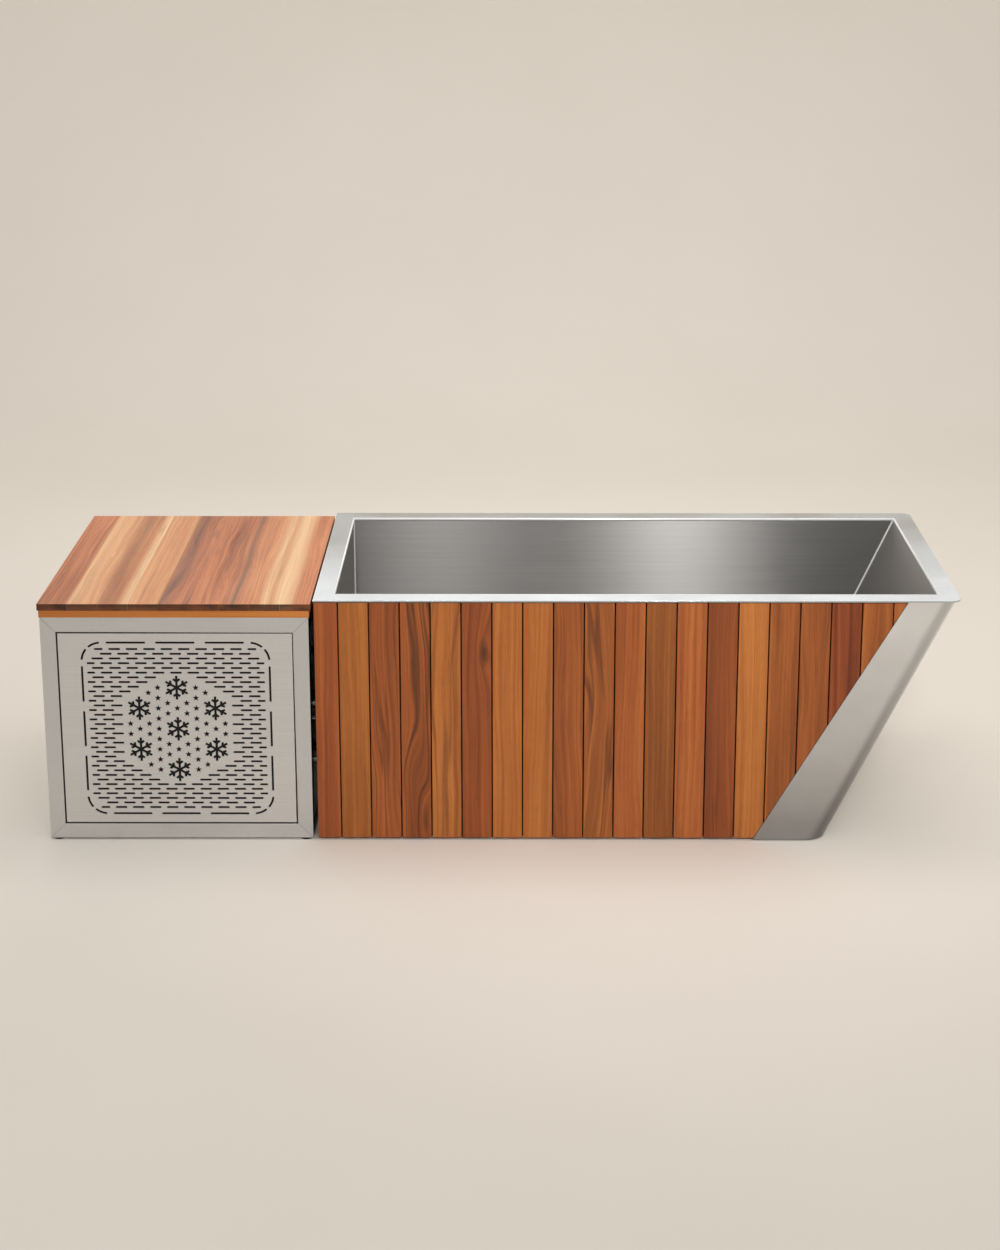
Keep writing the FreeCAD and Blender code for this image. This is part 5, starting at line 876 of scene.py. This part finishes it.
dress(bright_steel, "door_pivot_pins", "door_strike")
dress(black_plastic, "door_pivot_bushes", "door_catch")


# Studio: a seamless cream paper sweep under even fill light. Two narrow soft boxes at the front draw the
# streaks in the basin, a wide one hangs overhead, and a cool one behind lights the rim.
sweep_half = 45.0
sweep_front = -70.0
sweep_back = 3.2
sweep_round = 2.6
sweep_tall = 9.0
bend_steps = 24
sweep_profile = [(sweep_front, 0.0), (sweep_back, 0.0)]
for step in range(1, bend_steps + 1):
    angle = math.radians(90 * step / bend_steps)
    sweep_profile.append((sweep_back + sweep_round * math.sin(angle), sweep_round * (1 - math.cos(angle))))
sweep_profile.append((sweep_back + sweep_round, sweep_tall))
sweep_points = [(x, y, z) for y, z in sweep_profile for x in (-sweep_half, sweep_half)]
sweep_faces = [(2 * i, 2 * i + 1, 2 * i + 3, 2 * i + 2) for i in range(len(sweep_profile) - 1)]
sweep_mesh = bpy.data.meshes.new("studio_sweep")
sweep_mesh.from_pydata(sweep_points, [], sweep_faces)
for face in sweep_mesh.polygons:
    face.use_smooth = True
paper = Finish("studio_paper")
paper_cloud = paper.speckle((1.5, 1.5, 1.5), 4.0)
cream = paper.mixed(paper_cloud, tone(246, 238, 227), tone(251, 244, 234))
sweep_mesh.materials.append(paper.show(cream, paper.ranged(paper_cloud, 0.3, 0.7, 0.75, 0.85)))
sweep = bpy.data.objects.new("studio_sweep", sweep_mesh)
bpy.context.scene.collection.objects.link(sweep)


warm_white = (1.0, 0.985, 0.965)


def soft_light(name, place, aim, size, power, spread=180.0, colour=warm_white):
    """A rectangular soft box at a place, turned to its aim. A grid keeps its light within the spread."""
    lamp = bpy.data.lights.new(name, "AREA")
    lamp.shape = "RECTANGLE"
    lamp.size, lamp.size_y = size
    lamp.energy = power
    lamp.spread = math.radians(spread)
    lamp.color = colour
    box = bpy.data.objects.new(name, lamp)
    box.location = place
    box.rotation_euler = (Vector(aim) - Vector(place)).to_track_quat("-Z", "Y").to_euler()
    bpy.context.scene.collection.objects.link(box)


soft_light("left_front_light", (-0.453, -4.2, 3.1), (-0.3, 0.2, 0.95), (0.25, 0.9), 3.1, 50.0)
soft_light("right_front_light", (0.807, -4.2, 3.1), (0.55, 0.2, 0.95), (0.25, 0.9), 6.8, 50.0)
soft_light("overhead_light", (0.2, 0.4, 3.6), (0.2, 0.2, 0.0), (3.4, 1.2), 19.0)
soft_light("back_light", (-0.5, 4.6, 3.1), (-0.3, 0.0, 0.65), (6.0, 1.7), 8.6, 90.0, (0.94, 0.98, 1.0))
world = bpy.data.worlds.new("studio_air")
world.use_nodes = True
world.node_tree.nodes["Background"].inputs["Color"].default_value = (*warm_white, 1.0)
world.node_tree.nodes["Background"].inputs["Strength"].default_value = 0.65
bpy.context.scene.world = world


# Camera: a long lens in front of the tub and above it. Its place, tilt and shift come from the corners of
# the rim, so that the tub stands in the frame as it does in the photograph.
tilt_down = 13.94
turn_left = 0.160
lens = bpy.data.cameras.new("photo_lens")
lens.sensor_fit = "VERTICAL"
lens.sensor_height = 36.0
lens.lens = 62.15
lens.shift_x = -0.0102
lens.shift_y = -0.1728
lens.clip_end = 100.0
viewer = bpy.data.objects.new("photo_view", lens)
viewer.location = (0.0505, -5.6883, 2.4968)
viewer.rotation_euler = (math.radians(90 - tilt_down), 0.0, math.radians(turn_left))
bpy.context.scene.collection.objects.link(viewer)
bpy.context.scene.camera = viewer
bpy.context.scene.view_settings.view_transform = "Standard"
